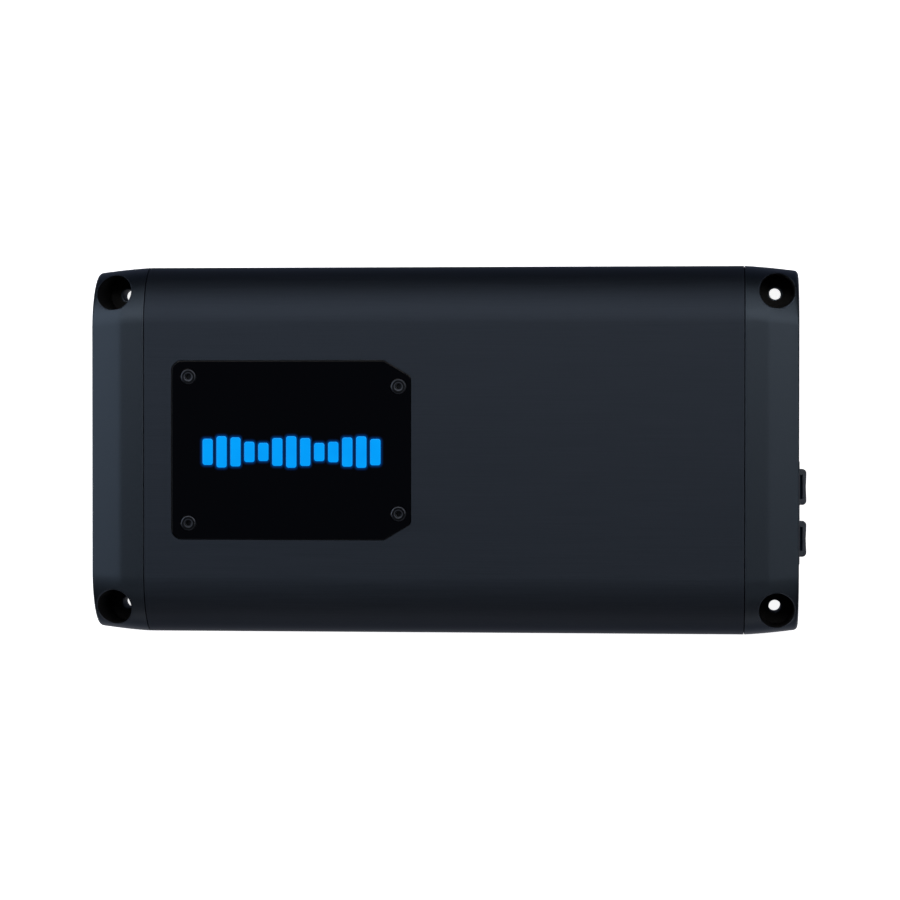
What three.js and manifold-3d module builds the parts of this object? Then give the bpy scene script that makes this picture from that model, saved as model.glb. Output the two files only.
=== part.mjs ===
// Car amplifier: a black extruded heatsink body closed by two cast end caps, with a gloss window
// plate and a lit mark on top, controls recessed in the left cap and fuses and terminals in the right.
// Frame: millimetres, +X towards the power end, +Y across the body, +Z up.
// Origin: centre of the footprint, on the underside that rests on the vehicle.
import * as THREE from 'three';
import { mergeVertices } from 'three/addons/utils/BufferGeometryUtils.js';
import Module from 'manifold-3d';

const wasm = await Module();
wasm.setup();

// ---- overall body ----
const HALF_LENGTH = 185.9;
const HALF_WIDTH = 97.0;
const HEIGHT = 58.9;
const TOP_HALF = 66.5; // half width of the flat top, where the shoulders start
const SHOULDER_Z = 36.0; // height where the shoulders meet the vertical sides
const SEAM_X = 157.6; // end of the extrusion
const FIT_GAP = 0.3; // clearance between neighbouring pieces
const TOP_WALL = 6.0;
const SIDE_WALL = 5.0;
const CEILING_Z = HEIGHT - TOP_WALL;
const INNER_HALF = HALF_WIDTH - SIDE_WALL;

// ---- extrusion details ----
const GROOVE_HEIGHTS = [9, 16, 23, 30];
const GROOVE_DEPTH = 1.6;
const RAIL = { y: 80, z0: 12, z1: 32 }; // ledge that takes the transistors' heat
const BOSS = { half: 4.5, z: 46.5 }; // ribs under the top, tapped for the cap screws
const TAP = { r: 1.7, depth: 16 };
const TRACK = { y0: 91.5, y1: 94.5, z0: 1.7, z1: 4.1 }; // slots that the bottom cover slides into
const CAP_SCREW = { y: 60, z: 51, shank: 1.5, head: 3.2, seat: 172.0, tip: 146.0 };
const CAP_SCREW_HOLE = { shank: 1.9, head: 3.7 };

// ---- end caps ----
const CAP_INNER_X = SEAM_X + FIT_GAP;
const CREASE_X = 170.2; // the top turns down from here to the end face
const CAP_DROP = 2.5;
const CAP_TAPER = 2.7; // narrowing of each side from the seam to the end face
const CAP_STATIONS = [CAP_INNER_X, 164, CREASE_X, 178, HALF_LENGTH];
const CORNER_RADIUS = 2.5;
const MOUNT_X = 174.6;
const MOUNT_Y = 83.3;
const MOUNT_BORE = 3.2;
const MOUNT_WELL = 9.25;
const WELL_FLOOR = 15.0;
const BAY = { y: 66, z0: 7, z1: 43 }; // recess in the cap's end face
const PANEL_SEAT = { y: 70, z0: 4, z1: 46.5, x: 168 };
const PANEL = { x0: 165.9, x1: 167.7, y: 69.6, z0: 4.4, z1: 46.1 };

// ---- bottom cover and boards ----
const COVER = { y: 91.7, tongue: 94.2, lip: 88, z1: 2.0, z2: 3.8 };
const STANDOFFS = { x: [-140, 0, 140], y: 66, r: 3.0, z1: 7.9 };
const MAIN_BOARD = { x: 156, y: 75, z0: 8.0, z1: 9.6 };
const ON_BOARD = MAIN_BOARD.z1 + 0.1; // underside of what is soldered on the board

// ---- window plate and lit mark ----
const PLATE = { x0: -142.9, x1: -16.3, y: 47, z0: 55.7, z1: 58.7, r: 5.8, blend: 3.0 };
const CHAMFER = { x: -30.4, y: 38.6 };
const PLATE_SCREWS = [[-134.1, 38.6], [-134.1, -38.6], [-22.8, 33.4], [-22.8, -33.4]];
const PLATE_SCREW = { r: 1.9, head: 3.8, socket: 1.45, tip: 50.5, under: 56.6 };
const SINK = { hole: 2.3, r: 4.15, depth: 2.2 }; // recess in the plate for a screw's head
const MARK = { x: -79.35, y: -0.95, pitch: 7.4, width: 5.2, height: 16.3, bars: 13, corner: 1.2 };
const WINDOW = { x0: -130, x1: -28.7, y0: -13.5, y1: 11.6 };
const GUIDE = { z0: 53.2, z1: 55.3 };
const LED_BOARD = { z0: 50.2, z1: 51.8, top: 52.9, lamps: 8, pitch: 12 };

// ---- power end ----
const FUSE_Y = [-19.4, -46.85];
const FUSE = { wide: 19.0, thick: 5.2, x0: 178.8, x1: 190.8, z: 27, blade: 5.2, pitch: 9.8 };
const BLADE = { tip: 166.6, half: 0.35, slot: 0.7 }; // half thicknesses of the metal and of its slot
const HOLDER = { y0: -60.5, y1: -5.5, z0: 19.5, z1: 34.5, x1: 187, lip: 3, back: 152 };
const POWER_BLOCK = {
  y0: -2, y1: 31, z1: 38, x1: 181, lip: 1.5, back: 147,
  ports: [4, 14.5, 25], port: 4.4, hole: 3.4, screw: 3.1, socket: 1.6,
};
const SPEAKER_BLOCK = {
  y0: 34.5, y1: 64.5, z1: 36, x1: 181, lip: 1.5, back: 147,
  ports: [38.6, 45.9, 53.2, 60.5], port: 2.7, hole: 2.5, screw: 2.2, socket: 1.15,
};
const PORT = { z: 17.5, end: 152 }; // wire ports and how deep they run
const CLAMP = { z: 30.5, end: 160, tip: 161, head: 178.5 }; // clamping screws above them
const SLEEVE = { r: 4.2, wall: 0.8, x0: 153, x1: 178, bottom: 2 };

// ---- input end, sizes as distances from the middle towards the left ----
const JACK = { y: [-51, -33], z: [16.5, 33.5], shell: 4.3, bore: 3.6, flange: 6.0, rim: 1.2, x1: 178 };
const CORE = { x0: 160.6, x1: 165.6, tip: 176.6, r: 3.1, hole: 1.6, floor: 167, sides: 9, ends: 8 };
const KNOBS = [['gain_knob', -10], ['lowpass_knob', 6], ['subsonic_knob', 22], ['bass_knob', 38]];
const KNOB = { z: 31.5, r: 5.2, x0: 168.6, x1: 177.0, shaft: 1.6, tail: 162.4 };
const SWITCHES = [['phase_switch', -2], ['level_switch', 30]];
const SWITCH = { z: 14, travel: 3.0, lever: 3.0, high: 2.8, x0: 162.3, x1: 170.4 };
const REMOTE = { y: 54, z0: 10.5, z1: 24.5, half: 7.0, x0: 160.6, x1: 169.6 };
const LED = { z: 34, r: 1.5, flange: 1.9, power: 50, protect: 58 };
const INPUT_BOARD = { x0: 158.6, x1: 160.2, y: 66, z0: 10, z1: 44.5, parts: 165.4 };
const BEHIND_PANEL = 160; // cutters for panel holes run from here
const BEFORE_PANEL = 170;

// ---------------------------------------------------------------- helpers

function solid(geometry) {
  const bare = geometry.clone();
  bare.deleteAttribute('normal');
  bare.deleteAttribute('uv');
  const welded = mergeVertices(bare, 1e-4);
  const index = welded.index.array;
  const kept = [];
  for (let i = 0; i < index.length; i += 3) {
    const [a, b, c] = [index[i], index[i + 1], index[i + 2]];
    if (a !== b && b !== c && c !== a) kept.push(a, b, c);
  }
  const body = new wasm.Manifold(new wasm.Mesh({
    numProp: 3,
    vertProperties: new Float32Array(welded.attributes.position.array),
    triVerts: new Uint32Array(kept),
  }));
  if (body.volume() <= 0) throw new Error('a solid is inside out');
  return body;
}

const AXES = {
  x: [new THREE.Vector3(0, 1, 0), new THREE.Vector3(0, 0, 1), new THREE.Vector3(1, 0, 0)],
  y: [new THREE.Vector3(0, 0, 1), new THREE.Vector3(1, 0, 0), new THREE.Vector3(0, 1, 0)],
  z: [new THREE.Vector3(1, 0, 0), new THREE.Vector3(0, 1, 0), new THREE.Vector3(0, 0, 1)],
};

// The outline's two coordinates follow the chosen axis in the order X, Y, Z, X: (y, z) for 'x'.
function prismGeometry(shape, axis, from, to, curve = 4, steps = 1) {
  const options = { depth: to - from, bevelEnabled: false, curveSegments: curve, steps };
  const geometry = new THREE.ExtrudeGeometry(shape, options);
  geometry.translate(0, 0, from);
  return geometry.applyMatrix4(new THREE.Matrix4().makeBasis(...AXES[axis]));
}

function prism(shape, axis, from, to, curve = 4) {
  return solid(prismGeometry(shape, axis, from, to, curve));
}

function box(x0, x1, y0, y1, z0, z1) {
  const geometry = new THREE.BoxGeometry(x1 - x0, y1 - y0, z1 - z0);
  geometry.translate((x0 + x1) / 2, (y0 + y1) / 2, (z0 + z1) / 2);
  return solid(geometry);
}

// Revolves [radius, height] pairs that start and end on the axis, rising, about 'x' or 'z'.
function turned(profile, axis, u, v, segments = 14) {
  const points = profile.map(([r, h]) => new THREE.Vector2(r, h));
  const geometry = new THREE.LatheGeometry(points, segments);
  if (axis === 'z') geometry.rotateX(Math.PI / 2).translate(u, v, 0);
  else geometry.rotateZ(-Math.PI / 2).translate(0, u, v);
  return solid(geometry);
}

function rod(axis, r, from, to, u, v, segments = 12) {
  return turned([[0, from], [r, from], [r, to], [0, to]], axis, u, v, segments);
}

function cut(body, ...tools) {
  return tools.reduce((left, tool) => left.subtract(tool), body);
}

function join(...bodies) {
  return bodies.reduce((all, body) => all.add(body));
}

function rounded(width, height, radius, cx = 0, cy = 0) {
  const [x, y, r] = [width / 2 - radius, height / 2 - radius, radius];
  const shape = new THREE.Shape();
  shape.absarc(cx + x, cy + y, r, 0, Math.PI / 2);
  shape.absarc(cx - x, cy + y, r, Math.PI / 2, Math.PI);
  shape.absarc(cx - x, cy - y, r, Math.PI, 1.5 * Math.PI);
  shape.absarc(cx + x, cy - y, r, 1.5 * Math.PI, 2 * Math.PI);
  return shape;
}

// A closed polygon given as [x, y, radius] corners, each corner replaced by its tangent arc.
function filleted(corners, divisions = 4) {
  const points = [];
  const count = corners.length;
  corners.forEach(([x, y, r], i) => {
    const corner = new THREE.Vector2(x, y);
    const before = new THREE.Vector2(...corners[(i + count - 1) % count]).sub(corner).normalize();
    const after = new THREE.Vector2(...corners[(i + 1) % count]).sub(corner).normalize();
    const half = Math.acos(before.dot(after)) / 2;
    const middle = before.clone().add(after).normalize().multiplyScalar(r / Math.sin(half));
    const centre = corner.clone().add(middle);
    const start = corner.clone().addScaledVector(before, r / Math.tan(half)).sub(centre);
    const turn = Math.PI - 2 * half;
    for (let k = 0; k <= divisions; k += 1) {
      const angle = (turn * k) / divisions;
      points.push(start.clone().rotateAround(new THREE.Vector2(), angle).add(centre));
    }
  });
  return new THREE.Shape(points);
}

const amplifier = new THREE.Group();
amplifier.name = 'car_amplifier';

function finish(color, roughness, metalness) {
  return { color, roughness, metalness };
}

const ANODISED = finish(0x262b31, 0.45, 0.9);
const CAST = finish(0x303740, 0.55, 0.6);
const STEEL_PLATE = finish(0x1c1e21, 0.6, 0.7);
const SCREW_BLACK = finish(0x2a2b2d, 0.4, 0.8);
const GLOSS_BLACK = finish(0x040507, 0.08, 0.0);
const BLUE_LIGHT = finish(0x00a0ff, 0.3, 0.0);
const PLASTIC = finish(0x17181a, 0.6, 0.0);
const CIRCUIT_GREEN = finish(0x14452c, 0.5, 0.0);
const BRASS = finish(0xc9a04f, 0.3, 1.0);
const NICKEL = finish(0xb8b9ba, 0.3, 1.0);
const SMOKED = finish(0x24262a, 0.25, 0.0);

function add(name, body, { color, roughness, metalness }) {
  const { vertProperties, triVerts } = body.getMesh();
  const geometry = new THREE.BufferGeometry();
  geometry.setAttribute('position', new THREE.BufferAttribute(vertProperties, 3));
  geometry.setIndex(new THREE.BufferAttribute(triVerts, 1));
  geometry.computeVertexNormals();
  const material = new THREE.MeshStandardMaterial({ color, roughness, metalness });
  const mesh = new THREE.Mesh(geometry, material);
  mesh.name = name;
  amplifier.add(mesh);
}

const flip = (body) => body.mirror([1, 0, 0]);

// ---------------------------------------------------------------- heatsink body

function archOutline(half, top, side, rise, foot) {
  const shape = new THREE.Shape();
  shape.moveTo(-side, foot);
  shape.lineTo(side, foot);
  shape.absellipse(half, SHOULDER_Z, side - half, rise, 0, Math.PI / 2);
  shape.absellipse(-half, SHOULDER_Z, side - half, top - SHOULDER_Z, Math.PI / 2, Math.PI);
  return shape;
}

const OUTLINE = archOutline(TOP_HALF, HEIGHT, HALF_WIDTH, HEIGHT - SHOULDER_Z, 0);
const INSIDE = archOutline(TOP_HALF, CEILING_Z, INNER_HALF, CEILING_Z - SHOULDER_Z, -1);

function sideGroove(side, z) {
  const [mouth, floor] = [side * (HALF_WIDTH + 0.1), side * (HALF_WIDTH - GROOVE_DEPTH)];
  const corners = [[mouth, z - 1.6], [mouth, z + 1.6], [floor, z + 1.0], [floor, z - 1.0]];
  const shape = new THREE.Shape(corners.map(([y, h]) => new THREE.Vector2(y, h)));
  return prism(shape, 'x', -SEAM_X - 1, SEAM_X + 1);
}

// The plate's outline grown by a gap: rounded corners on the left, long chamfers on the right.
function plateOutline(gap) {
  const { x0, x1, y, r, blend } = PLATE;
  const slope = Math.atan2(y - CHAMFER.y, x1 - CHAMFER.x);
  const chamferX = CHAMFER.x + gap * Math.tan(slope / 2);
  const chamferY = CHAMFER.y + gap * Math.tan((Math.PI / 2 - slope) / 2);
  return filleted([
    [x0 - gap, -y - gap, r],
    [chamferX, -y - gap, blend],
    [x1 + gap, -chamferY, blend],
    [x1 + gap, chamferY, blend],
    [chamferX, y + gap, blend],
    [x0 - gap, y + gap, r],
  ]);
}

function heatsinkHousing() {
  let cavity = prism(INSIDE, 'x', -SEAM_X - 1, SEAM_X + 1);
  for (const side of [-1, 1]) {
    const [a, b] = [side * RAIL.y, side * (INNER_HALF + 1)].sort((p, q) => p - q);
    cavity = cavity.subtract(box(-SEAM_X - 2, SEAM_X + 2, a, b, RAIL.z0, RAIL.z1));
    const y = side * CAP_SCREW.y;
    const [y0, y1] = [y - BOSS.half, y + BOSS.half];
    cavity = cavity.subtract(box(-SEAM_X - 2, SEAM_X + 2, y0, y1, BOSS.z, CEILING_Z + 1));
  }
  let body = prism(OUTLINE, 'x', -SEAM_X, SEAM_X).subtract(cavity);
  for (const side of [-1, 1]) {
    for (const z of GROOVE_HEIGHTS) body = body.subtract(sideGroove(side, z));
    const [a, b] = [side * TRACK.y0, side * TRACK.y1].sort((p, q) => p - q);
    body = body.subtract(box(-SEAM_X - 1, SEAM_X + 1, a, b, TRACK.z0, TRACK.z1));
    for (const end of [-1, 1]) {
      const [from, to] = [end * (SEAM_X - TAP.depth), end * (SEAM_X + 1)].sort((p, q) => p - q);
      body = body.subtract(rod('x', TAP.r, from, to, side * CAP_SCREW.y, CAP_SCREW.z, 10));
    }
  }
  body = body.subtract(prism(plateOutline(FIT_GAP), 'z', PLATE.z0 - FIT_GAP, HEIGHT + 1));
  body = body.subtract(box(WINDOW.x0, WINDOW.x1, WINDOW.y0, WINDOW.y1, CEILING_Z - 1, HEIGHT));
  for (const [x, y] of PLATE_SCREWS) {
    body = body.subtract(rod('z', 2.1, CEILING_Z - 1, HEIGHT, x, y));
  }
  return body;
}

add('heatsink_housing', heatsinkHousing(), ANODISED);

function bottomCover() {
  const half = [
    [COVER.y, 0], [COVER.y, COVER.z1], [COVER.tongue, COVER.z1],
    [COVER.tongue, COVER.z2], [COVER.lip, COVER.z2], [COVER.lip, COVER.z1],
  ];
  const mirrored = half.map(([y, z]) => [-y, z]).reverse();
  const shape = new THREE.Shape([...half, ...mirrored].map(([y, z]) => new THREE.Vector2(y, z)));
  let body = prism(shape, 'x', -SEAM_X, SEAM_X);
  for (const x of STANDOFFS.x) {
    for (const y of [-STANDOFFS.y, STANDOFFS.y]) {
      body = body.add(rod('z', STANDOFFS.r, 1, STANDOFFS.z1, x, y, 12));
    }
  }
  return body;
}

add('bottom_cover', bottomCover(), STEEL_PLATE);

// ---------------------------------------------------------------- end caps

// The extrusion's outline carried on past the seam, narrowing in plan and falling past the crease.
function capBlank() {
  const steps = CAP_STATIONS.length - 1;
  const geometry = prismGeometry(OUTLINE, 'x', CAP_INNER_X, HALF_LENGTH, 4, steps);
  const place = geometry.attributes.position;
  const length = HALF_LENGTH - CAP_INNER_X;
  for (let i = 0; i < place.count; i += 1) {
    const station = Math.round(((place.getX(i) - CAP_INNER_X) / length) * steps);
    const x = CAP_STATIONS[station];
    const narrowing = CAP_TAPER * ((x - CAP_INNER_X) / length) ** 1.3;
    const fall = CAP_DROP * Math.max(0, (x - CREASE_X) / (HALF_LENGTH - CREASE_X));
    place.setX(i, x);
    place.setY(i, place.getY(i) * (1 - narrowing / HALF_WIDTH));
    place.setZ(i, place.getZ(i) * (1 - fall / HEIGHT));
  }
  const plan = filleted([
    [CAP_INNER_X - 2, -HALF_WIDTH - 1, 0.5],
    [HALF_LENGTH, -HALF_WIDTH + CAP_TAPER - 0.05, CORNER_RADIUS],
    [HALF_LENGTH, HALF_WIDTH - CAP_TAPER + 0.05, CORNER_RADIUS],
    [CAP_INNER_X - 2, HALF_WIDTH + 1, 0.5],
  ]);
  return solid(geometry).intersect(prism(plan, 'z', -1, HEIGHT + 1));
}

function endCap() {
  const bay = rounded(2 * BAY.y, BAY.z1 - BAY.z0, 4, 0, (BAY.z0 + BAY.z1) / 2);
  const seat = box(
    CAP_INNER_X - 1, PANEL_SEAT.x, -PANEL_SEAT.y, PANEL_SEAT.y, PANEL_SEAT.z0, PANEL_SEAT.z1,
  );
  let body = cut(capBlank(), prism(bay, 'x', PANEL_SEAT.x - 1, HALF_LENGTH + 1, 4), seat);
  for (const side of [-1, 1]) {
    const y = side * MOUNT_Y;
    const screwY = side * CAP_SCREW.y;
    body = cut(
      body,
      rod('z', MOUNT_WELL, WELL_FLOOR, HEIGHT + 1, MOUNT_X, y, 24),
      rod('z', MOUNT_BORE, -1, WELL_FLOOR + 1, MOUNT_X, y, 16),
      rod('x', CAP_SCREW_HOLE.shank, CAP_INNER_X - 1, CAP_SCREW.seat + 1, screwY, CAP_SCREW.z, 10),
      rod('x', CAP_SCREW_HOLE.head, CAP_SCREW.seat, HALF_LENGTH + 1, screwY, CAP_SCREW.z, 14),
    );
  }
  return body;
}

const cap = endCap();
add('left_end_cap', flip(cap), CAST);
add('right_end_cap', cap, CAST);

function capScrew(y) {
  const { z, shank, head, seat, tip } = CAP_SCREW;
  const body = turned([
    [0, tip], [shank, tip], [shank, seat + 0.1], [head, seat + 0.1],
    [head, seat + 2.0], [head - 0.8, seat + 2.7], [0, seat + 2.7],
  ], 'x', y, z, 12);
  return cut(body, rod('x', 1.1, seat + 1.0, seat + 4, y, z, 6));
}

const capScrewFront = capScrew(-CAP_SCREW.y);
const capScrewBack = capScrew(CAP_SCREW.y);
add('cap_screw_left_front', flip(capScrewFront), SCREW_BLACK);
add('cap_screw_left_back', flip(capScrewBack), SCREW_BLACK);
add('cap_screw_right_front', capScrewFront, SCREW_BLACK);
add('cap_screw_right_back', capScrewBack, SCREW_BLACK);

// ---------------------------------------------------------------- window plate and lit mark

// Heights of the upright bars, a level meter's swell that is highest in the middle and near both ends.
function barHeight(i) {
  const t = (2 * i) / (MARK.bars - 1) - 1;
  const swell = Math.abs(Math.cos(1.25 * Math.PI * t));
  return MARK.height * (0.42 + 0.58 * swell);
}

function markBars(gap, from, to) {
  const bars = [];
  for (let i = 0; i < MARK.bars; i += 1) {
    const x = MARK.x + (i - (MARK.bars - 1) / 2) * MARK.pitch;
    const width = MARK.width + 2 * gap;
    const height = barHeight(i) + 2 * gap;
    const corners = [[-1, -1], [1, -1], [1, 1], [-1, 1]];
    const shape = filleted(corners.map(([sx, sy]) => [
      x + (sx * width) / 2, MARK.y + (sy * height) / 2, MARK.corner + gap,
    ]), 1);
    bars.push(prism(shape, 'z', from, to));
  }
  return bars;
}

function windowPlate() {
  let body = prism(plateOutline(0), 'z', PLATE.z0, PLATE.z1);
  for (const [x, y] of PLATE_SCREWS) {
    body = cut(
      body,
      rod('z', SINK.hole, PLATE.z0 - 1, PLATE.z1 + 1, x, y, 10),
      rod('z', SINK.r, PLATE.z1 - SINK.depth, PLATE.z1 + 1, x, y, 16),
    );
  }
  return cut(body, ...markBars(0.2, PLATE.z0 - 1, PLATE.z1 + 1));
}

add('window_plate', windowPlate(), GLOSS_BLACK);

function windowScrew(x, y) {
  const { r, head, socket, tip, under } = PLATE_SCREW;
  const body = turned([
    [0, tip], [r, tip], [r, under], [head, under], [head, under + 0.6],
    [head - 0.8, under + 1.6], [head - 2.0, under + 2.0], [0, under + 2.0],
  ], 'z', x, y);
  return cut(body, rod('z', socket, under + 0.6, HEIGHT + 1, x, y, 6));
}

PLATE_SCREWS.forEach(([x, y], i) => {
  add(`window_screw_${i + 1}`, windowScrew(x, y), SCREW_BLACK);
});

const [windowX, windowY] = [(WINDOW.x0 + WINDOW.x1) / 2, (WINDOW.y0 + WINDOW.y1) / 2];
const windowSize = [WINDOW.x1 - WINDOW.x0 - 2 * FIT_GAP, WINDOW.y1 - WINDOW.y0 - 2 * FIT_GAP];
const windowFill = rounded(...windowSize, 1.0, windowX, windowY);
const guide = prism(windowFill, 'z', GUIDE.z0, GUIDE.z1, 1);
add('light_guide', join(guide, ...markBars(0, GUIDE.z1 - 0.5, PLATE.z1)), BLUE_LIGHT);

function ledBoard() {
  const { z0, z1, top, lamps, pitch } = LED_BOARD;
  let body = prism(windowFill, 'z', z0, z1, 1);
  for (let i = 0; i < lamps; i += 1) {
    const x = MARK.x + (i - (lamps - 1) / 2) * pitch;
    body = body.add(box(x - 1.75, x + 1.75, MARK.y - 1.4, MARK.y + 1.4, z1 - 0.8, top));
  }
  return body;
}

add('led_board', ledBoard(), CIRCUIT_GREEN);

// ---------------------------------------------------------------- boards and power stage

const board = box(
  -MAIN_BOARD.x, MAIN_BOARD.x, -MAIN_BOARD.y, MAIN_BOARD.y, MAIN_BOARD.z0, MAIN_BOARD.z1,
);
add('main_board', board, CIRCUIT_GREEN);

function ringCoil(x, y, outer, inner, high, bevel) {
  const [z0, z1] = [ON_BOARD, ON_BOARD + high];
  const body = turned([
    [0, z0], [outer - bevel, z0], [outer, z0 + bevel],
    [outer, z1 - bevel], [outer - bevel, z1], [0, z1],
  ], 'z', x, y, 20);
  return cut(body, rod('z', inner, z0 - 1, z1 + 1, x, y, 16));
}

add('supply_transformer', ringCoil(70, 0, 31, 11, 30, 6), finish(0x8a4a1e, 0.4, 0.5));
add('output_choke', ringCoil(-20, -30, 19, 8, 20, 4), finish(0x8a4a1e, 0.4, 0.5));

function capacitor(x, y) {
  const [z0, z1] = [ON_BOARD, ON_BOARD + 34];
  return turned([
    [0, z0], [11, z0], [11, z1 - 0.8], [10.2, z1], [0, z1],
  ], 'z', x, y);
}

[[22, 38], [-4, 38], [-30, 38]].forEach(([x, y], i) => {
  add(`capacitor_${i + 1}`, capacitor(x, y), finish(0x1d2c4a, 0.4, 0.1));
});

// A flat power transistor standing on its three legs against the heatsink ledge.
function transistor(x, side) {
  const [a, b] = [side * (RAIL.y - 0.2), side * (RAIL.y - 5.2)].sort((p, q) => p - q);
  const middle = (a + b) / 2 - side * 0.6;
  let body = box(x - 8, x + 8, a, b, 14, 31.5);
  for (const step of [-5.4, 0, 5.4]) {
    const leg = box(x + step - 0.6, x + step + 0.6, middle - 0.4, middle + 0.4, ON_BOARD, 15);
    body = body.add(leg);
  }
  return body;
}

function clampBar(side) {
  const [a, b] = [side * (RAIL.y - 5.5), side * (RAIL.y - 8.0)].sort((p, q) => p - q);
  return box(14, 126, a, b, 19, 27);
}

[[32, -1], [108, -1], [32, 1], [108, 1]].forEach(([x, side], i) => {
  add(`power_transistor_${i + 1}`, transistor(x, side), PLASTIC);
});
add('clamp_bar_front', clampBar(-1), NICKEL);
add('clamp_bar_back', clampBar(1), NICKEL);

// ---------------------------------------------------------------- power end

// A connector body: a face that stops against the panel and a narrower back on the board.
function connector({ y0, y1, z0 = ON_BOARD, z1, x1, lip, back }) {
  const face = box(PANEL.x1 + FIT_GAP, x1, y0, y1, z0, z1);
  return join(face, box(back, PANEL.x1 + 1, y0 + lip, y1 - lip, z0, z1 - lip));
}

function panelHole({ y0, y1, z0 = ON_BOARD, z1, lip }) {
  const inset = lip - FIT_GAP;
  return box(PANEL.x0 - 1, PANEL.x1 + 1, y0 + inset, y1 - inset, z0 - FIT_GAP, z1 - inset);
}

function panelBlank() {
  const { x0, x1, y, z0, z1 } = PANEL;
  return prism(rounded(2 * y, z1 - z0, 1.5, 0, (z0 + z1) / 2), 'x', x0, x1, 2);
}

const powerPanel = cut(
  panelBlank(),
  panelHole(HOLDER),
  panelHole(POWER_BLOCK),
  panelHole(SPEAKER_BLOCK),
);
add('power_panel', powerPanel, STEEL_PLATE);

function terminalBlock(block) {
  let body = connector(block);
  for (const y of block.ports) {
    body = body.subtract(rod('x', block.port, PORT.end, block.x1 + 1, y, PORT.z));
    body = body.subtract(rod('x', block.hole, CLAMP.end, block.x1 + 1, y, CLAMP.z, 10));
  }
  return body;
}

function terminalScrew(y, { screw: r, socket }) {
  const { z, tip, head } = CLAMP;
  const body = turned([
    [0, tip], [r, tip], [r, head - 0.4], [r - 0.4, head], [0, head],
  ], 'x', y, z, 10);
  return cut(body, rod('x', socket, head - 2, head + 1, y, z, 6));
}

// A clamp sleeve lying in the block's wire port, open towards the wire.
function clampSleeve(y) {
  const { r, wall, x0, x1, bottom } = SLEEVE;
  return cut(
    rod('x', r, x0, x1, y, PORT.z),
    rod('x', r - wall, x0 + bottom, x1 + 1, y, PORT.z),
  );
}

add('power_terminal_block', terminalBlock(POWER_BLOCK), PLASTIC);
POWER_BLOCK.ports.forEach((y, i) => {
  add(`power_terminal_screw_${i + 1}`, terminalScrew(y, POWER_BLOCK), NICKEL);
  add(`power_terminal_sleeve_${i + 1}`, clampSleeve(y), BRASS);
});
add('speaker_terminal_block', terminalBlock(SPEAKER_BLOCK), PLASTIC);
SPEAKER_BLOCK.ports.forEach((y, i) => {
  add(`speaker_terminal_screw_${i + 1}`, terminalScrew(y, SPEAKER_BLOCK), NICKEL);
});

function fuseHolder() {
  let body = connector(HOLDER);
  for (const y of FUSE_Y) {
    const [w, t] = [FUSE.wide / 2 + FIT_GAP, FUSE.thick / 2 + FIT_GAP];
    body = body.subtract(box(
      FUSE.x0 - FIT_GAP, HOLDER.x1 + 1, y - w, y + w, FUSE.z - t, FUSE.z + t,
    ));
    for (const side of [-0.5, 0.5]) {
      const [middle, half] = [y + side * FUSE.pitch, FUSE.blade / 2 + 0.2];
      const [z0, z1] = [FUSE.z - BLADE.slot, FUSE.z + BLADE.slot];
      body = body.subtract(box(BLADE.tip - 0.6, FUSE.x0, middle - half, middle + half, z0, z1));
    }
  }
  return body;
}

add('fuse_holder', fuseHolder(), PLASTIC);

// A blade fuse lying flat: rounded head with a sunk window on each face, two blades.
function bladeFuse(y) {
  const { wide, thick, x0, x1, z, blade, pitch } = FUSE;
  const outline = filleted([
    [x0, y - wide / 2, 0.6], [x1, y - wide / 2, 2.0], [x1, y + wide / 2, 2.0], [x0, y + wide / 2, 0.6],
  ], 3);
  let body = prism(outline, 'z', z - thick / 2, z + thick / 2);
  for (const face of [-1, 1]) {
    const middle = z + (face * thick) / 2;
    body = body.subtract(box(x0 + 6.4, x1 - 2.0, y - 6.4, y + 6.4, middle - 0.9, middle + 0.9));
  }
  for (const side of [-0.5, 0.5]) {
    const centre = y + side * pitch;
    body = body.add(box(
      BLADE.tip, x0 + 2, centre - blade / 2, centre + blade / 2, z - BLADE.half, z + BLADE.half,
    ));
  }
  return body;
}

FUSE_Y.forEach((y, i) => add(`fuse_${i + 1}`, bladeFuse(y), SMOKED));

// ---------------------------------------------------------------- input end

function panelRod(r, y, z, segments) {
  return rod('x', r, BEHIND_PANEL, BEFORE_PANEL, y, z, segments);
}

// The room a switch lever needs over its whole travel.
function switchTrack(y, from, to) {
  const [wide, tall] = [SWITCH.lever / 2 + FIT_GAP, SWITCH.high / 2 + FIT_GAP];
  return box(from, to, y - wide, y + wide + SWITCH.travel, SWITCH.z - tall, SWITCH.z + tall);
}

function inputPanel() {
  let body = panelBlank();
  for (const y of JACK.y) {
    for (const z of JACK.z) body = body.subtract(panelRod(JACK.bore, y, z, 12));
  }
  for (const [, y] of KNOBS) body = body.subtract(panelRod(KNOB.shaft + 0.5, y, KNOB.z, 12));
  for (const [, y] of SWITCHES) body = body.subtract(switchTrack(y, BEHIND_PANEL, BEFORE_PANEL));
  for (const y of [LED.power, LED.protect]) body = body.subtract(panelRod(LED.r + 0.2, y, LED.z, 10));
  const { y, z0, z1 } = REMOTE;
  const half = REMOTE.half + FIT_GAP;
  const socket = box(BEHIND_PANEL, BEFORE_PANEL, y - half, y + half, z0 - FIT_GAP, z1 + FIT_GAP);
  return body.subtract(socket);
}

add('input_panel', flip(inputPanel()), STEEL_PLATE);

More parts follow.
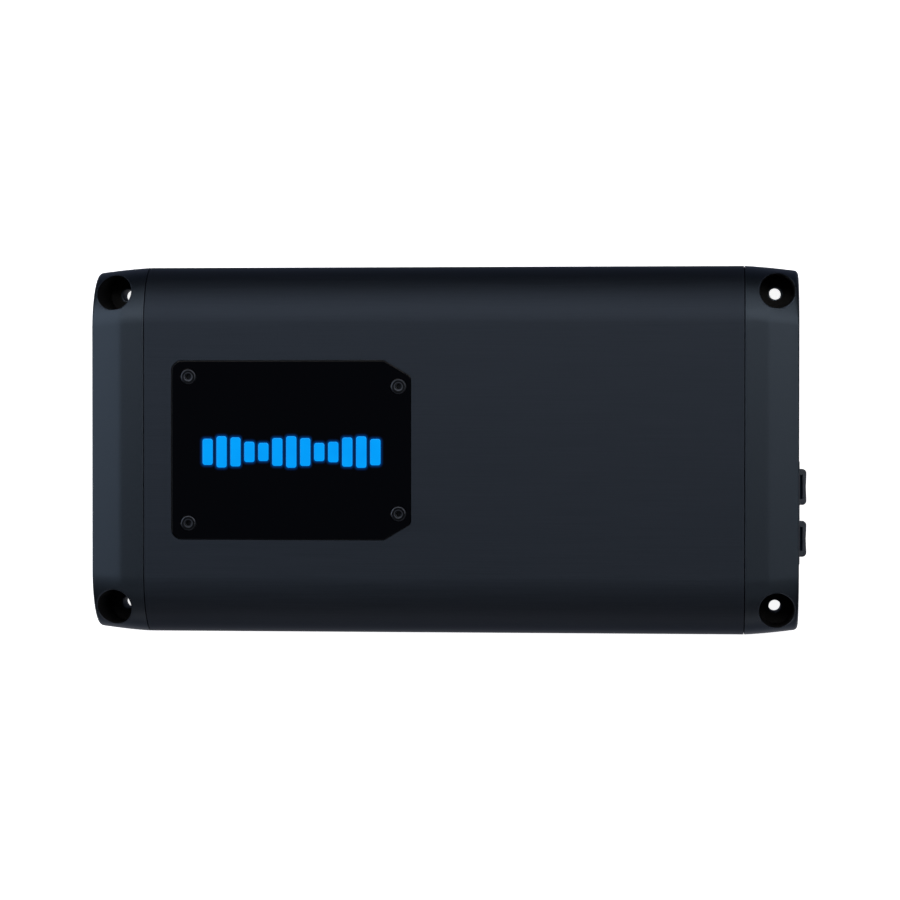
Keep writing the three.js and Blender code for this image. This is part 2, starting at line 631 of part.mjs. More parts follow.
// The control board with its soldered potentiometers and slide switch housings.
function inputBoard() {
  const { x0, x1, y: edge, z0, z1, parts } = INPUT_BOARD;
  let body = box(x0, x1, -edge, edge, z0, z1);
  for (const [, y] of KNOBS) {
    const pot = box(x1 - 0.5, parts, y - 5, y + 5, KNOB.z - 5.5, KNOB.z + 5.5);
    body = body.add(cut(pot, rod('x', KNOB.shaft + 0.2, KNOB.tail - 0.4, parts + 1, y, KNOB.z)));
  }
  for (const [, y] of SWITCHES) {
    const centre = y + SWITCH.travel / 2;
    const housing = box(x1 - 0.5, parts, centre - 6.5, centre + 6.5, SWITCH.z - 3, SWITCH.z + 3);
    body = body.add(cut(housing, switchTrack(y, SWITCH.x0 - FIT_GAP, parts + 1)));
  }
  return body;
}

add('input_board', flip(inputBoard()), CIRCUIT_GREEN);

// The insulator behind the panel with one core standing out inside each shell.
function rcaBlock() {
  const { x0, x1, tip, r, hole, floor, sides, ends } = CORE;
  const [[y0, y1], [z0, z1]] = [JACK.y, JACK.z];
  let body = box(x0, x1, y0 - sides, y1 + sides, z0 - ends, z1 + ends);
  for (const y of JACK.y) {
    for (const z of JACK.z) {
      body = body.add(rod('x', r, x1 - 0.6, tip, y, z));
      body = body.subtract(rod('x', hole, floor, tip + 1, y, z, 8));
    }
  }
  return body;
}

add('rca_block', flip(rcaBlock()), finish(0xd8d6cf, 0.5, 0.0));

function rcaShell(y, z) {
  const [foot, tip] = [PANEL.x1 + 0.2, JACK.x1];
  const body = turned([
    [0, foot], [JACK.flange, foot], [JACK.flange, foot + JACK.rim], [JACK.shell, foot + JACK.rim],
    [JACK.shell, tip], [0, tip],
  ], 'x', y, z);
  return cut(body, rod('x', JACK.bore, foot - 1, tip + 1, y, z));
}

let jackNumber = 0;
for (const y of JACK.y) {
  for (const z of JACK.z) {
    jackNumber += 1;
    add(`rca_shell_${jackNumber}`, flip(rcaShell(y, z)), NICKEL);
  }
}

// A fluted control knob with a screwdriver slot, made in one with its shaft.
function controlKnob(y) {
  const points = [];
  const count = 24;
  for (let k = 0; k < count; k += 1) {
    const angle = (2 * Math.PI * k) / count;
    const r = KNOB.r - 0.3 + 0.3 * Math.cos(8 * angle);
    points.push(new THREE.Vector2(y + r * Math.cos(angle), KNOB.z + r * Math.sin(angle)));
  }
  const grip = prism(new THREE.Shape(points), 'x', KNOB.x0, KNOB.x1);
  const shaft = rod('x', KNOB.shaft, KNOB.tail, KNOB.x0 + 1, y, KNOB.z);
  const slot = box(KNOB.x1 - 1.4, KNOB.x1 + 1, y - 0.55, y + 0.55, KNOB.z - 3.6, KNOB.z + 4.2);
  return cut(join(grip, shaft), slot);
}

for (const [name, y] of KNOBS) add(name, flip(controlKnob(y)), PLASTIC);

function switchLever(y) {
  const [half, tall] = [SWITCH.lever / 2, SWITCH.high / 2];
  const lever = box(SWITCH.x0, SWITCH.x1, y - half, y + half, SWITCH.z - tall, SWITCH.z + tall);
  const notch = box(SWITCH.x1 - 0.4, SWITCH.x1 + 1, y - 0.4, y + 0.4, SWITCH.z - 2, SWITCH.z + 2);
  return cut(lever, notch);
}

for (const [name, y] of SWITCHES) add(name, flip(switchLever(y)), finish(0xd9d9d6, 0.5, 0.0));

function remotePort() {
  const { y, half, z0, z1, x0, x1 } = REMOTE;
  return cut(
    box(x0, x1, y - half, y + half, z0, z1),
    box(x0 + 1.4, x1 + 1, y - 5.2, y + 5.2, z0 + 2.0, z1 - 4.0),
    box(x0 + 1.4, x1 + 1, y - 2.2, y + 2.2, z1 - 4.5, z1 - 1.6),
  );
}

add('remote_port', flip(remotePort()), PLASTIC);

function statusLed(y) {
  return turned([
    [0, 161], [LED.flange, 161], [LED.flange, 164.6], [LED.r, 164.8],
    [LED.r, 168.2], [LED.r - 0.5, 169.0], [0, 169.2],
  ], 'x', y, LED.z, 10);
}

add('power_led', flip(statusLed(LED.power)), finish(0x2d7fd6, 0.2, 0.0));
add('protect_led', flip(statusLed(LED.protect)), finish(0xb02a22, 0.2, 0.0));

export default amplifier;
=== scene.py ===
# %% [markdown]
# # A car amplifier, one piece at a time
# The real thing is a length of extruded aluminium closed by two cast end caps, with electronics inside.
# The CAD model fixes every size, place and joint. This lesson loads that frame, measures it, and builds the
# fine outer surfaces and finishes around it, one real piece per step.

import math

import bmesh
import bpy
import numpy as np
from mathutils import Matrix, Vector


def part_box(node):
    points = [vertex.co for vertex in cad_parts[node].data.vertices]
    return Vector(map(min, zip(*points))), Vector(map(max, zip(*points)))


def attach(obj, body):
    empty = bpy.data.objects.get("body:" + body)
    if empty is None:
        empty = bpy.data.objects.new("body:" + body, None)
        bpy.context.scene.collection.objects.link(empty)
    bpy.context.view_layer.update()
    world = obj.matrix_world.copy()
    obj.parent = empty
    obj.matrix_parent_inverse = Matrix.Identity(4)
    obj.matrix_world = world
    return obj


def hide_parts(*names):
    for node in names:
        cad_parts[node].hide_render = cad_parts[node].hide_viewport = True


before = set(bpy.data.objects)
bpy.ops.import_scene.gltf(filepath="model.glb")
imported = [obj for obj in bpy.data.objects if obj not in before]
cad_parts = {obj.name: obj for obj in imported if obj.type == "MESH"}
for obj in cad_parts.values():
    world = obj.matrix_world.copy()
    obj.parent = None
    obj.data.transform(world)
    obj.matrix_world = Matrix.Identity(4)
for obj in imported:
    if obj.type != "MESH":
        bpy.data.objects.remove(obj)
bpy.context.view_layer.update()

# %% [markdown]
# ## Measuring in millimetres
# Shapes are worked out in millimetres, and turned to metres once, as they go into a mesh. `span` reads a CAD
# piece's own box. Both ends are drawn as the right one, with x growing outwards, so `outward` gives a
# left-end piece's box that way round.

# %% Units and boxes
MM = 0.001


def span(node):
    """Lowest and highest corner of a CAD piece, in millimetres."""
    low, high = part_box(node)
    return np.array(low) / MM, np.array(high) / MM


def middle(node):
    """The centre of a CAD piece's box, in millimetres."""
    low, high = span(node)
    return (low + high) / 2


def outward(node):
    """A left-end CAD piece's box with x counted outwards from the middle."""
    low, high = span(node)
    return np.array([-high[0], low[1], low[2]]), np.array([-low[0], high[1], high[2]])


SEAM_X, HALF_WIDTH, HEIGHT = span("heatsink_housing")[1]
CAP_START, END_X = (corner[0] for corner in span("right_end_cap"))
print(f"body {2 * SEAM_X:.1f} x {2 * HALF_WIDTH:.1f} x {HEIGHT:.1f} mm, caps end at {END_X:.1f} mm")

# %% [markdown]
# ## Outlines
# Most pieces start as a flat outline: an array of points going round anticlockwise. Corners get true arcs,
# because a real edge is never perfectly sharp, and it is the small radius that catches the light.


# %% Outline helpers
def ellipse(cu, cv, a, b, start, end, count):
    """Points on an ellipse's arc: centre plus (a cos t, b sin t), with t from start to end in degrees."""
    t = np.radians(np.linspace(start, end, count))
    return np.column_stack([cu + a * np.cos(t), cv + b * np.sin(t)])


def circle(radius, count):
    """Points on a circle round the origin, without repeating the first."""
    return ellipse(0, 0, radius, radius, 0, 360, count + 1)[:-1]


def filleted(corners, steps=5):
    """A polygon of (u, v, radius) corners, each turned by the arc that touches both its sides."""
    points = []
    for i, (u, v, radius) in enumerate(corners):
        corner = np.array([u, v], float)
        if radius == 0:
            points.append(corner[None])
            continue
        before = np.array(corners[i - 1][:2]) - corner
        after = np.array(corners[(i + 1) % len(corners)][:2]) - corner
        before = before / np.linalg.norm(before)
        after = after / np.linalg.norm(after)
        half = math.acos(np.clip(before @ after, -1, 1)) / 2
        way = (before + after) / np.linalg.norm(before + after)
        centre = corner + way * radius / math.sin(half)
        first = corner + before * radius / math.tan(half) - centre
        side = np.sign(before[0] * after[1] - before[1] * after[0])
        t = -side * np.linspace(0, math.pi - 2 * half, steps)
        turned = np.column_stack([
            first[0] * np.cos(t) - first[1] * np.sin(t),
            first[0] * np.sin(t) + first[1] * np.cos(t),
        ])
        points.append(centre + turned)
    return np.vstack(points)


def rectangle(u0, u1, v0, v1, radius, steps=5):
    """A rectangle's outline with rounded corners."""
    return filleted([(u0, v0, radius), (u1, v0, radius), (u1, v1, radius), (u0, v1, radius)], steps)


def centred(u, v, width, height, radius, steps=5):
    """A rectangle's outline about its centre."""
    return rectangle(u - width / 2, u + width / 2, v - height / 2, v + height / 2, radius, steps)


def inset(outline, distance):
    """The outline moved inwards: each point steps back along the normal of its two neighbours."""
    along = np.roll(outline, -1, axis=0) - np.roll(outline, 1, axis=0)
    normal = np.column_stack([along[:, 1], -along[:, 0]])
    length = np.linalg.norm(normal, axis=1, keepdims=True)
    return outline - distance * normal / np.maximum(length, 1e-9)


# %% [markdown]
# ## Lofts
# A loft is a stack of rings joined by a skin of quads and closed at both ends. A screw, a knob, a plate and a
# cast cap are all lofts: only the rings differ.


# %% Loft helpers
def on_axis(outline, height, axis):
    """Flat points to space: (y, z) about x, (z, x) about y, (x, y) about z."""
    u, v = outline[:, 0], outline[:, 1]
    w = np.full(len(outline), float(height))
    return np.column_stack({"x": (w, u, v), "y": (v, w, u), "z": (u, v, w)}[axis])


def skin(rings):
    """Vertices and faces of a closed loft: quads from each ring to the next, and one face at each end."""
    rings = np.asarray(rings, float)
    count, around = rings.shape[:2]
    here = np.arange(around)
    following = np.roll(here, -1)
    base = (np.arange(count - 1) * around)[:, None]
    quads = np.stack([base + here, base + following, base + around + following, base + around + here], -1)
    faces = quads.reshape(-1, 4).tolist()
    faces.append(here[::-1].tolist())
    faces.append((here + (count - 1) * around).tolist())
    return rings.reshape(-1, 3), faces


def prism(outline, axis, low, high, edge=0.25, steps=3):
    """An outline carried along an axis; both ends are rounded by insetting r(1 - cos t) over r sin t."""
    t = np.linspace(0, math.pi / 2, steps + 1)
    rise, pull = edge * np.sin(t), edge * (1 - np.cos(t))
    levels = [(low + edge - r, p) for r, p in zip(rise[::-1], pull[::-1])]
    levels += [(high - edge + r, p) for r, p in zip(rise, pull)]
    if edge == 0:
        levels = [(low, 0), (high, 0)]
    return skin([on_axis(inset(outline, p) if p else outline, w, axis) for w, p in levels])


def lathe(profile, axis, centre, count=48):
    """A profile of (radius, height) pairs turned about an axis through centre, given in the axis's plane."""
    ring = circle(1.0, count)
    rings = [on_axis(ring * max(r, 1e-4) + np.array(centre), h, axis) for r, h in profile]
    return skin(rings)


def bore(radius, low, high, axis, centre, count):
    """A plain cylinder to cut a round hole with."""
    return lathe([(radius, low), (radius, high)], axis, centre, count)


def end_view(low, high, gap, corner, steps=5):
    """The outline of a box seen along x, grown by the gap."""
    return rectangle(low[1] - gap, high[1] + gap, low[2] - gap, high[2] + gap, corner, steps)


def block(low, high, edge, corner):
    """A box with rounded edges, carried along x."""
    return prism(end_view(low, high, 0, corner, 4), "x", low[0], high[0], edge, 2)


# %% [markdown]
# ## From shapes to Blender objects
# `solid` puts shapes into a mesh, `carve` cuts holes with Blender's exact boolean and keeps the result,
# `soften` rounds cut edges, and `finish_piece` smooths the curved parts, gives the finish and says which
# moving body the piece rides on. `to_left` turns a piece drawn for the right end round to the left one.

# %% Object helpers
SHARP_ANGLE = 25
SMOOTH_ANGLE = 28


def solid(name, *shapes):
    """One object from one or more closed shapes given in millimetres."""
    points, faces, start = [], [], 0
    for shape_points, shape_faces in shapes:
        points.append(shape_points)
        faces.extend([[index + start for index in face] for face in shape_faces])
        start += len(shape_points)
    mesh = bpy.data.meshes.new(name)
    mesh.from_pydata(np.vstack(points) * MM, [], faces)
    work = bmesh.new()
    work.from_mesh(mesh)
    bmesh.ops.remove_doubles(work, verts=work.verts, dist=2e-6)
    work.to_mesh(mesh)
    work.free()
    result = bpy.data.objects.new(name, mesh)
    bpy.context.collection.objects.link(result)
    return result


def carve(target, shapes, operation="DIFFERENCE"):
    """Cuts each shape out of the target, or joins it on, and keeps the result as the target's mesh."""
    tools = []
    for shape in shapes:
        tool = solid("tool", shape)
        change = target.modifiers.new("cut", "BOOLEAN")
        change.object = tool
        change.operation = operation
        change.solver = "EXACT"
        tools.append(tool)
    evaluated = target.evaluated_get(bpy.context.evaluated_depsgraph_get())
    mesh = bpy.data.meshes.new_from_object(evaluated)
    target.modifiers.clear()
    target.data = mesh
    for tool in tools:
        bpy.data.objects.remove(tool)
    return target


def soften(target, width, where=None, material=-1):
    """Rounds the sharp edges that a cut leaves, or only those whose middle (in mm) passes the test."""
    work = bmesh.new()
    work.from_mesh(target.data)
    bmesh.ops.remove_doubles(work, verts=work.verts, dist=0.1 * MM)
    bmesh.ops.dissolve_degenerate(work, edges=work.edges, dist=0.02 * MM)
    sharp = [edge for edge in work.edges if edge.calc_face_angle(0) > math.radians(SHARP_ANGLE)]
    if where:
        sharp = [edge for edge in sharp if where((edge.verts[0].co + edge.verts[1].co) / 2 / MM)]
    bmesh.ops.bevel(work, geom=sharp, offset=width * MM, offset_type="OFFSET", segments=2, profile=0.5,
                    affect="EDGES", clamp_overlap=False, miter_outer="SHARP", material=material)
    work.to_mesh(target.data)
    work.free()


def to_left(piece):
    """Mirrors a mesh in x and turns its faces back outwards."""
    piece.data.transform(Matrix.Scale(-1, 4, (1, 0, 0)))
    piece.data.flip_normals()
    return piece


def finish_piece(piece, material, nodes, body="amplifier"):
    """Smooths faces that meet at a small angle, then sets the finish, the body and the CAD pieces."""
    mesh = piece.data
    mesh.materials.clear()
    mesh.materials.append(material)
    mesh.polygons.foreach_set("use_smooth", np.ones(len(mesh.polygons), bool))
    mesh.set_sharp_from_angle(angle=math.radians(SMOOTH_ANGLE))
    weighted = piece.modifiers.new("even_shading", "WEIGHTED_NORMAL")
    weighted.keep_sharp = True
    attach(piece, body)
    if nodes:
        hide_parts(*nodes)
    print(f"{piece.name}: {len(mesh.polygons)} faces")


# %% [markdown]
# ## Finishes
# Each finish is named for the real material and how its surface was made. Colours are written as the sRGB
# hex values a designer would pick, and one function turns them to the linear values that shaders need.
# A single helper adds a shader node, and another sets its values and makes its links.


# %% Material helpers
def linear(code, alpha=1.0):
    """sRGB hex to linear: below 0.04045 divide by 12.92, above it ((c + 0.055) / 1.055) to the power 2.4."""
    c = np.array([int(code[i:i + 2], 16) for i in (0, 2, 4)]) / 255
    value = np.where(c <= 0.04045, c / 12.92, ((c + 0.055) / 1.055) ** 2.4)
    return (*value.tolist(), alpha)


def fill(node, inputs):
    """Links each input that is given as a socket and sets the others; text is a hex colour."""
    for key, value in inputs.items():
        if isinstance(value, bpy.types.NodeSocket):
            node.id_data.links.new(value, node.inputs[key])
        else:
            node.inputs[key].default_value = linear(value) if isinstance(value, str) else value


def add(tree, kind, inputs, **settings):
    """Adds a node with its settings and inputs."""
    new = tree.nodes.new(kind)
    for key, value in settings.items():
        setattr(new, key, value)
    fill(new, inputs)
    return new


def new_material(name, **values):
    """A material with one Principled shader whose plain values are set here."""
    material = bpy.data.materials.new(name)
    material.use_nodes = True
    shader = material.node_tree.nodes["Principled BSDF"]
    fill(shader, {key.replace("_", " "): value for key, value in values.items()})
    return material, material.node_tree, shader


def pattern(tree, cell, detail=3.0):
    """Noise on the object's own coordinates, its cells one size in mm or a size along each of x, y and z."""
    place = add(tree, "ShaderNodeTexCoord", {}).outputs["Object"]
    scale = (1 / (np.ones(3) * cell * MM)).tolist()
    scaled = add(tree, "ShaderNodeMapping", {"Vector": place, "Scale": scale})
    inputs = {"Vector": scaled.outputs["Vector"], "Scale": 1.0, "Detail": detail, "Roughness": 0.5}
    return add(tree, "ShaderNodeTexNoise", inputs).outputs["Fac"]


def maths(tree, operation, first, second=0.0):
    """One step of arithmetic on values or sockets."""
    return add(tree, "ShaderNodeMath", {0: first, 1: second}, operation=operation).outputs[0]


def remap(tree, value, low, high, new_low, new_high):
    """A value between low and high carried to the range new_low to new_high."""
    inputs = {"Value": value, "From Min": low, "From Max": high, "To Min": new_low, "To Max": new_high}
    return add(tree, "ShaderNodeMapRange", inputs).outputs["Result"]


def mixed_colour(tree, factor, first, second):
    """A colour between two others."""
    return add(tree, "ShaderNodeMix", {0: factor, 6: first, 7: second}, data_type="RGBA").outputs[2]


def textured(name, dark, light, cell, rough, depth, detail=3.0, **values):
    """A finish whose colour, roughness and fine relief all follow one noise of a real cell size."""
    material, tree, shader = new_material(name, **values)
    noise = pattern(tree, cell, detail)
    bump = add(tree, "ShaderNodeBump", {"Height": noise, "Strength": 1.0, "Distance": depth * MM})
    fill(shader, {"Base Color": mixed_colour(tree, noise, dark, light), "Normal": bump.outputs["Normal"],
                  "Roughness": remap(tree, noise, 0.3, 0.7, *rough)})
    return material


# %% [markdown]
# ## Black anodised, brushed aluminium
# The extrusion is brushed along its length, then etched and dyed black. The dye sits in a clear oxide skin
# over bright metal, so it is a dark metal with a soft gleam, and the brushing shows as faint long lines.
# Real brush marks are near 0.05 mm wide; they are drawn 0.5 mm wide so that they show.

# %% Brushed aluminium
brushed = textured("aluminium_brushed_black_anodised", "262b32", "30353d", (45, 0.5, 0.5),
                   (0.49, 0.55), 0.003, detail=4.0, Metallic=1.0)

# %% [markdown]
# ## Cast caps with a satin black coat
# The caps are die cast and sprayed with a satin coat, a little bluer and lighter than the anodised body.
# The coat carries metal flake, so it is shaded as a dark metal. It has a very fine orange-peel relief, with
# cells near 1 mm. The faces inside the deep screw wells get a near-black painted shade, and the rounded rims
# a lighter painted highlight.

# %% Cast caps
PEEL = 1.2
cast_coat = textured("aluminium_die_cast_satin_black_coat", "2e343b", "32383f", PEEL, (0.38, 0.44), 0.005,
                     Metallic=1.0)
# Painted shade: the near-black finish put on the faces inside the screw wells.
cast_well_painted_shade = textured("aluminium_die_cast_painted_well_shade", "050506", "08080a", PEEL, (0.62, 0.70), 0.010,
                       IOR=1.4)
# Painted highlight: a lighter coat put on the softened rims.
cast_rim_painted_highlight = textured("aluminium_die_cast_coat_painted_rim_highlight", "3f464f", "4a515b", PEEL, (0.38, 0.44), 0.005,
                    Metallic=1.0)

# %% [markdown]
# ## Screws, panels and plated parts
# Black oxide on screws is thin and slightly oily. The end panels are sheet steel with a fine textured powder
# coat. Terminals and jack shells are nickel plated, the wire sleeves are turned brass, the socket's springs
# are gold-flashed bronze, and the fuses' blades are stamped zinc with tin on it.

# %% Metals
black_oxide = textured("steel_black_oxide", "1c1e21", "272a2e", 0.8, (0.20, 0.28), 0.001, Metallic=1.0)
powder_coat = textured("steel_sheet_black_powder_coat", "101113", "17191b", 0.7, (0.52, 0.66), 0.012, IOR=1.5)
nickel = textured("brass_nickel_plated", "b4b2ab", "c9c7c0", 1.5, (0.18, 0.28), 0.001, Metallic=1.0)
turned_brass = textured("brass_turned", "b98f45", "d1aa5e", (0.25, 3.0, 3.0), (0.22, 0.34), 0.002,
                        Metallic=1.0)
contact_gold = textured("phosphor_bronze_gold_flashed", "d8ac4c", "e6c070", 1.0, (0.2, 0.3), 0.001,
                        Metallic=1.0)
blade_zinc = textured("zinc_stamped_tin_plated", "a8a9aa", "bcbdbe", 2, (0.28, 0.38), 0.001, Metallic=1.0)

# %% [markdown]
# ## Screw heads with painted highlight rings
# The window's screws are black oxide. A lighter colour on two thin rings about the screw's axis, at the
# rim and round the socket's mouth, is a painted highlight.

# %% Painted highlight rings on screw heads
SCREW_HEAD = 4.05
RIM_RING = 3.75
SOCKET_RING = 2.1
RING_CORE, RING_FADE = 0.02, 0.05


def screw_with_painted_rings():
    """Black oxide with a painted highlight colour where the share of the head's width is near that of either
    ring.
    """
    material, tree, shader = new_material("steel_black_oxide_painted_ring_highlights", Metallic=1.0, Roughness=0.34)
    place = add(tree, "ShaderNodeTexCoord", {}).outputs["Generated"]
    flat = add(tree, "ShaderNodeVectorMath", {0: place, 1: (1, 1, 0), 2: (-0.5, -0.5, 0)},
               operation="MULTIPLY_ADD")
    radius = add(tree, "ShaderNodeVectorMath", {0: flat.outputs[0]}, operation="LENGTH").outputs["Value"]
    painted_ring_mask = 0.0
    for ring in (RIM_RING, SOCKET_RING):
        off_ring = maths(tree, "ABSOLUTE", maths(tree, "SUBTRACT", radius, ring / (2 * SCREW_HEAD)))
        painted_ring_mask = maths(tree, "MAXIMUM", painted_ring_mask, remap(tree, off_ring, RING_CORE, RING_FADE, 1, 0))
    oxide = mixed_colour(tree, pattern(tree, 0.8), "131416", "1b1d20")
    # Painted highlight: the lighter 42454c on the two rings.
    fill(shader, {"Base Color": mixed_colour(tree, painted_ring_mask, oxide, "42454c")})
    return material


steel_with_painted_rings = screw_with_painted_rings()

# %% [markdown]
# ## Plastics
# Knobs and terminal housings are moulded nylon with a fine spark-eroded grain. The fuses are smoked
# polycarbonate, smooth and nearly black. Jack cores are ABS in the usual white and red. The status lights are
# tinted epoxy, and the blue one is lit.

# %% Moulded plastics
nylon = textured("nylon_moulded_black", "0e0f10", "151618", 0.45, (0.50, 0.62), 0.010, IOR=1.53)
knob_nylon = textured("nylon_moulded_knob", "111214", "18191b", 0.35, (0.42, 0.52), 0.008, IOR=1.53)
smoked = textured("polycarbonate_moulded_smoked", "172230", "1e2b3c", 2.5, (0.34, 0.42), 0.002, IOR=1.585)
abs_white = textured("abs_moulded_white", "cfcdc5", "dddbd4", 0.6, (0.38, 0.46), 0.004, IOR=1.52)
abs_red = textured("abs_moulded_red", "8e1a16", "a3221c", 0.6, (0.38, 0.46), 0.004, IOR=1.52)
lever_plastic = textured("acetal_moulded_white", "c4c3be", "d6d5d0", 0.5, (0.36, 0.46), 0.004, IOR=1.48)
blue_lens = textured("epoxy_cast_tinted_blue", "123f86", "1b55a8", 1.5, (0.10, 0.16), 0.001, IOR=1.55)
red_lens = textured("epoxy_cast_tinted_red", "7d1512", "96201a", 1.5, (0.10, 0.16), 0.001, IOR=1.55)
fill(blue_lens.node_tree.nodes["Principled BSDF"], {"Emission Color": "1a78ff", "Emission Strength": 0.6})
print(len(bpy.data.materials), "finishes so far")

# %% [markdown]
# ## The heatsink body
# The real body is pushed through a die, so one closed section carried along x is the whole shape: a flat top,
# quarter-ellipse shoulders, sides with shallow cooling grooves, and inside them ledges for the transistors,
# tracks for the bottom cover and bosses for the cap screws. Only what is milled afterwards is cut: the
# pocket for the window plate, the window through it and the screw holes.

# %% Section of the extrusion
TOP_HALF = 66.5
SHOULDER_Z = 36.0
TOP_WALL = 6.0
SIDE_WALL = 5.0
GROOVE_HEIGHTS = (9, 16, 23, 30)
GROOVE_DEPTH = 1.6
GROOVE_HALF, GROOVE_SLOPE = 1.6, 0.6
BOSS_SIDES, BOSS_FOOT = (55.5, 64.5), 46.5
LEDGE_DEPTH, LEDGE_HEIGHTS = 12, (32, 12)
TRACK_DEPTH, TRACK_HEIGHTS = 2.5, (4.1, 1.7)
CEILING = HEIGHT - TOP_WALL
INNER_HALF = HALF_WIDTH - SIDE_WALL
SHOULDER_STEPS = 40


def notch(side, depth, first, last, slope, radius):
    """A step inwards from a side wall, between two heights, with sloping or level sides."""
    bed = side - depth
    return [(side, first, radius), (bed, first + slope, radius), (bed, last - slope, radius),
            (side, last, radius)]


def section():
    """Anticlockwise from the right foot: outer right side, outer left, inner left and inner right."""
    outer = [(HALF_WIDTH, 0, 0.5)]
    for z in GROOVE_HEIGHTS:
        outer += notch(HALF_WIDTH, GROOVE_DEPTH, z - GROOVE_HALF, z + GROOVE_HALF, GROOVE_SLOPE, 0.3)
    outer.append((HALF_WIDTH, SHOULDER_Z, 0))
    shoulder = ellipse(TOP_HALF, SHOULDER_Z, HALF_WIDTH - TOP_HALF, HEIGHT - SHOULDER_Z, 0, 90,
                       SHOULDER_STEPS)[1:]
    outer += [(u, v, 0) for u, v in shoulder]
    inner = [(u, v, 0) for u, v in ellipse(TOP_HALF, SHOULDER_Z, INNER_HALF - TOP_HALF,
                                           CEILING - SHOULDER_Z, 90, 0, 12)]
    near, far = BOSS_SIDES
    boss = [(near, CEILING, 0.5), (near, BOSS_FOOT, 0.5), (far, BOSS_FOOT, 0.5), (far, CEILING, 0.5)]
    inner = boss + inner + notch(INNER_HALF, LEDGE_DEPTH, *LEDGE_HEIGHTS, 0, 0.8)
    inner += notch(INNER_HALF, -TRACK_DEPTH, *TRACK_HEIGHTS, 0, 0.2) + [(INNER_HALF, 0, 0.4)]
    left = [(-u, v, r) for u, v, r in reversed(outer)] + [(-u, v, r) for u, v, r in reversed(inner)]
    return filleted(outer + left + inner, 4)


print("section has", len(section()), "points")

# %% [markdown]
# ## The window plate's outline
# The plate is laser cut from 3 mm acrylic. Two corners are rounded and the other two are long chamfers. The
# pocket in the body is the same outline grown by the fitting gap, so one function gives both.

# %% Plate outline, pocket and screw places
plate_low, plate_high = span("window_plate")
guide_low, guide_high = span("light_guide")
PLATE_CORNER = 5.8
CHAMFER_START = (-30.4, 38.6)
CHAMFER_BLEND = 3.0
FIT_GAP = 0.3
TAPPED_HOLE = 2.1
plate_screws = [middle(f"window_screw_{i + 1}") for i in range(4)]


def plate_outline(gap):
    """Rounded at the low-x corners and chamfered at the high-x corners, grown outwards by the gap."""
    x0, x1, y = plate_low[0] - gap, plate_high[0] + gap, plate_high[1] + gap
    slope = math.atan2(plate_high[1] - CHAMFER_START[1], plate_high[0] - CHAMFER_START[0])
    cx = CHAMFER_START[0] + gap * math.tan(slope / 2)
    cy = CHAMFER_START[1] + gap * math.tan((math.pi / 2 - slope) / 2)
    return filleted([(x0, -y, PLATE_CORNER), (cx, -y, CHAMFER_BLEND), (x1, -cy, CHAMFER_BLEND),
                     (x1, cy, CHAMFER_BLEND), (cx, y, CHAMFER_BLEND), (x0, y, PLATE_CORNER)], 12)


# %% Body
body = solid("heatsink_body", prism(section(), "x", -SEAM_X, SEAM_X, 0.25, 2))
window = rectangle(guide_low[0] - FIT_GAP, guide_high[0] + FIT_GAP,
                   guide_low[1] - FIT_GAP, guide_high[1] + FIT_GAP, 1.2)
cuts = [prism(plate_outline(FIT_GAP), "z", plate_low[2] - FIT_GAP, HEIGHT + 1, 0),
        prism(window, "z", CEILING - 1, HEIGHT + 1, 0)]
cuts += [bore(TAPPED_HOLE, CEILING - 1, HEIGHT, "z", place[:2], 24) for place in plate_screws]
carve(body, cuts)
finish_piece(body, brushed, ["heatsink_housing"])

# %% [markdown]
# ## The end caps
# A cap carries the body's section on past the seam. It is a stack of sections that narrow in plan and, past a
# soft crease, fall towards the end face. Its end face edge is rounded as a casting is. Then the deep screw
# wells, the mounting holes, the bay for the connectors and the cap screws' recesses are cut, and the cut
# edges are softened.

# %% Cap shape
CAP_STATIONS = (161, 164, 167, 168.6, 169.4, 170.2, 171, 171.8, 173, 176, 179, 182, 183.7, 184.2, 184.6,
                184.9)
CREASE_X = 170.2
CREASE_SOFT = 1.2
CAP_FALL = 2.5
CAP_TAPER = 2.7
CAP_EDGE = 0.7
CAP_CORNER = 2.2
WELL_RADIUS = 9.25
WELL_FLOOR = 15.0
HOLE_RADIUS = 3.2
WELL_PLACE = (174.6, 83.3)
BAY = (-66, 66, 7, 43)
PANEL_SEAT, SEAT_END = (-70, 70, 4, 46.5), 168
CAP_SCREW_PLACE = (60, 51)
CAP_SCREW_HOLE, CAP_SCREW_RECESS, RECESS_FLOOR = 1.9, 3.7, 172


def cap_section(x, pull=0.0):
    """The arch at x, inset by pull.

    With s running 0 to 1 along the cap it narrows by T s^1.3, and by C (1 - sqrt(1 - u^2)) over the corner.
    Past the crease, at a distance d, it falls in proportion to (d + sqrt(d^2 + soft^2)) / 2.
    """
    foot = filleted([(-HALF_WIDTH, 0, 0.5), (HALF_WIDTH, 0, 0.5), (HALF_WIDTH, SHOULDER_Z, 0),
                     (-HALF_WIDTH, SHOULDER_Z, 0)], 4)[:-2]
    right = ellipse(TOP_HALF, SHOULDER_Z, HALF_WIDTH - TOP_HALF, HEIGHT - SHOULDER_Z, 0, 90, SHOULDER_STEPS)
    top = np.column_stack([np.linspace(TOP_HALF, -TOP_HALF, 13)[1:-1], np.full(11, HEIGHT)])
    left = right[::-1] * np.array([-1, 1])
    outline = np.vstack([foot, right, top, left])
    along = np.clip((x - CAP_START) / (END_X - CAP_START), 0, 1)
    narrowing = CAP_TAPER * along ** 1.3
    turned = np.clip((x - END_X + CAP_CORNER) / CAP_CORNER, 0, 1)
    narrowing += CAP_CORNER * (1 - math.sqrt(1 - turned ** 2))
    past = x - CREASE_X
    soft = (past + math.sqrt(past ** 2 + CREASE_SOFT ** 2)) / 2
    fall = CAP_FALL * soft / (END_X - CREASE_X)
    outline = outline * np.array([1 - narrowing / HALF_WIDTH, 1 - fall / HEIGHT])
    return inset(outline, pull) if pull else outline


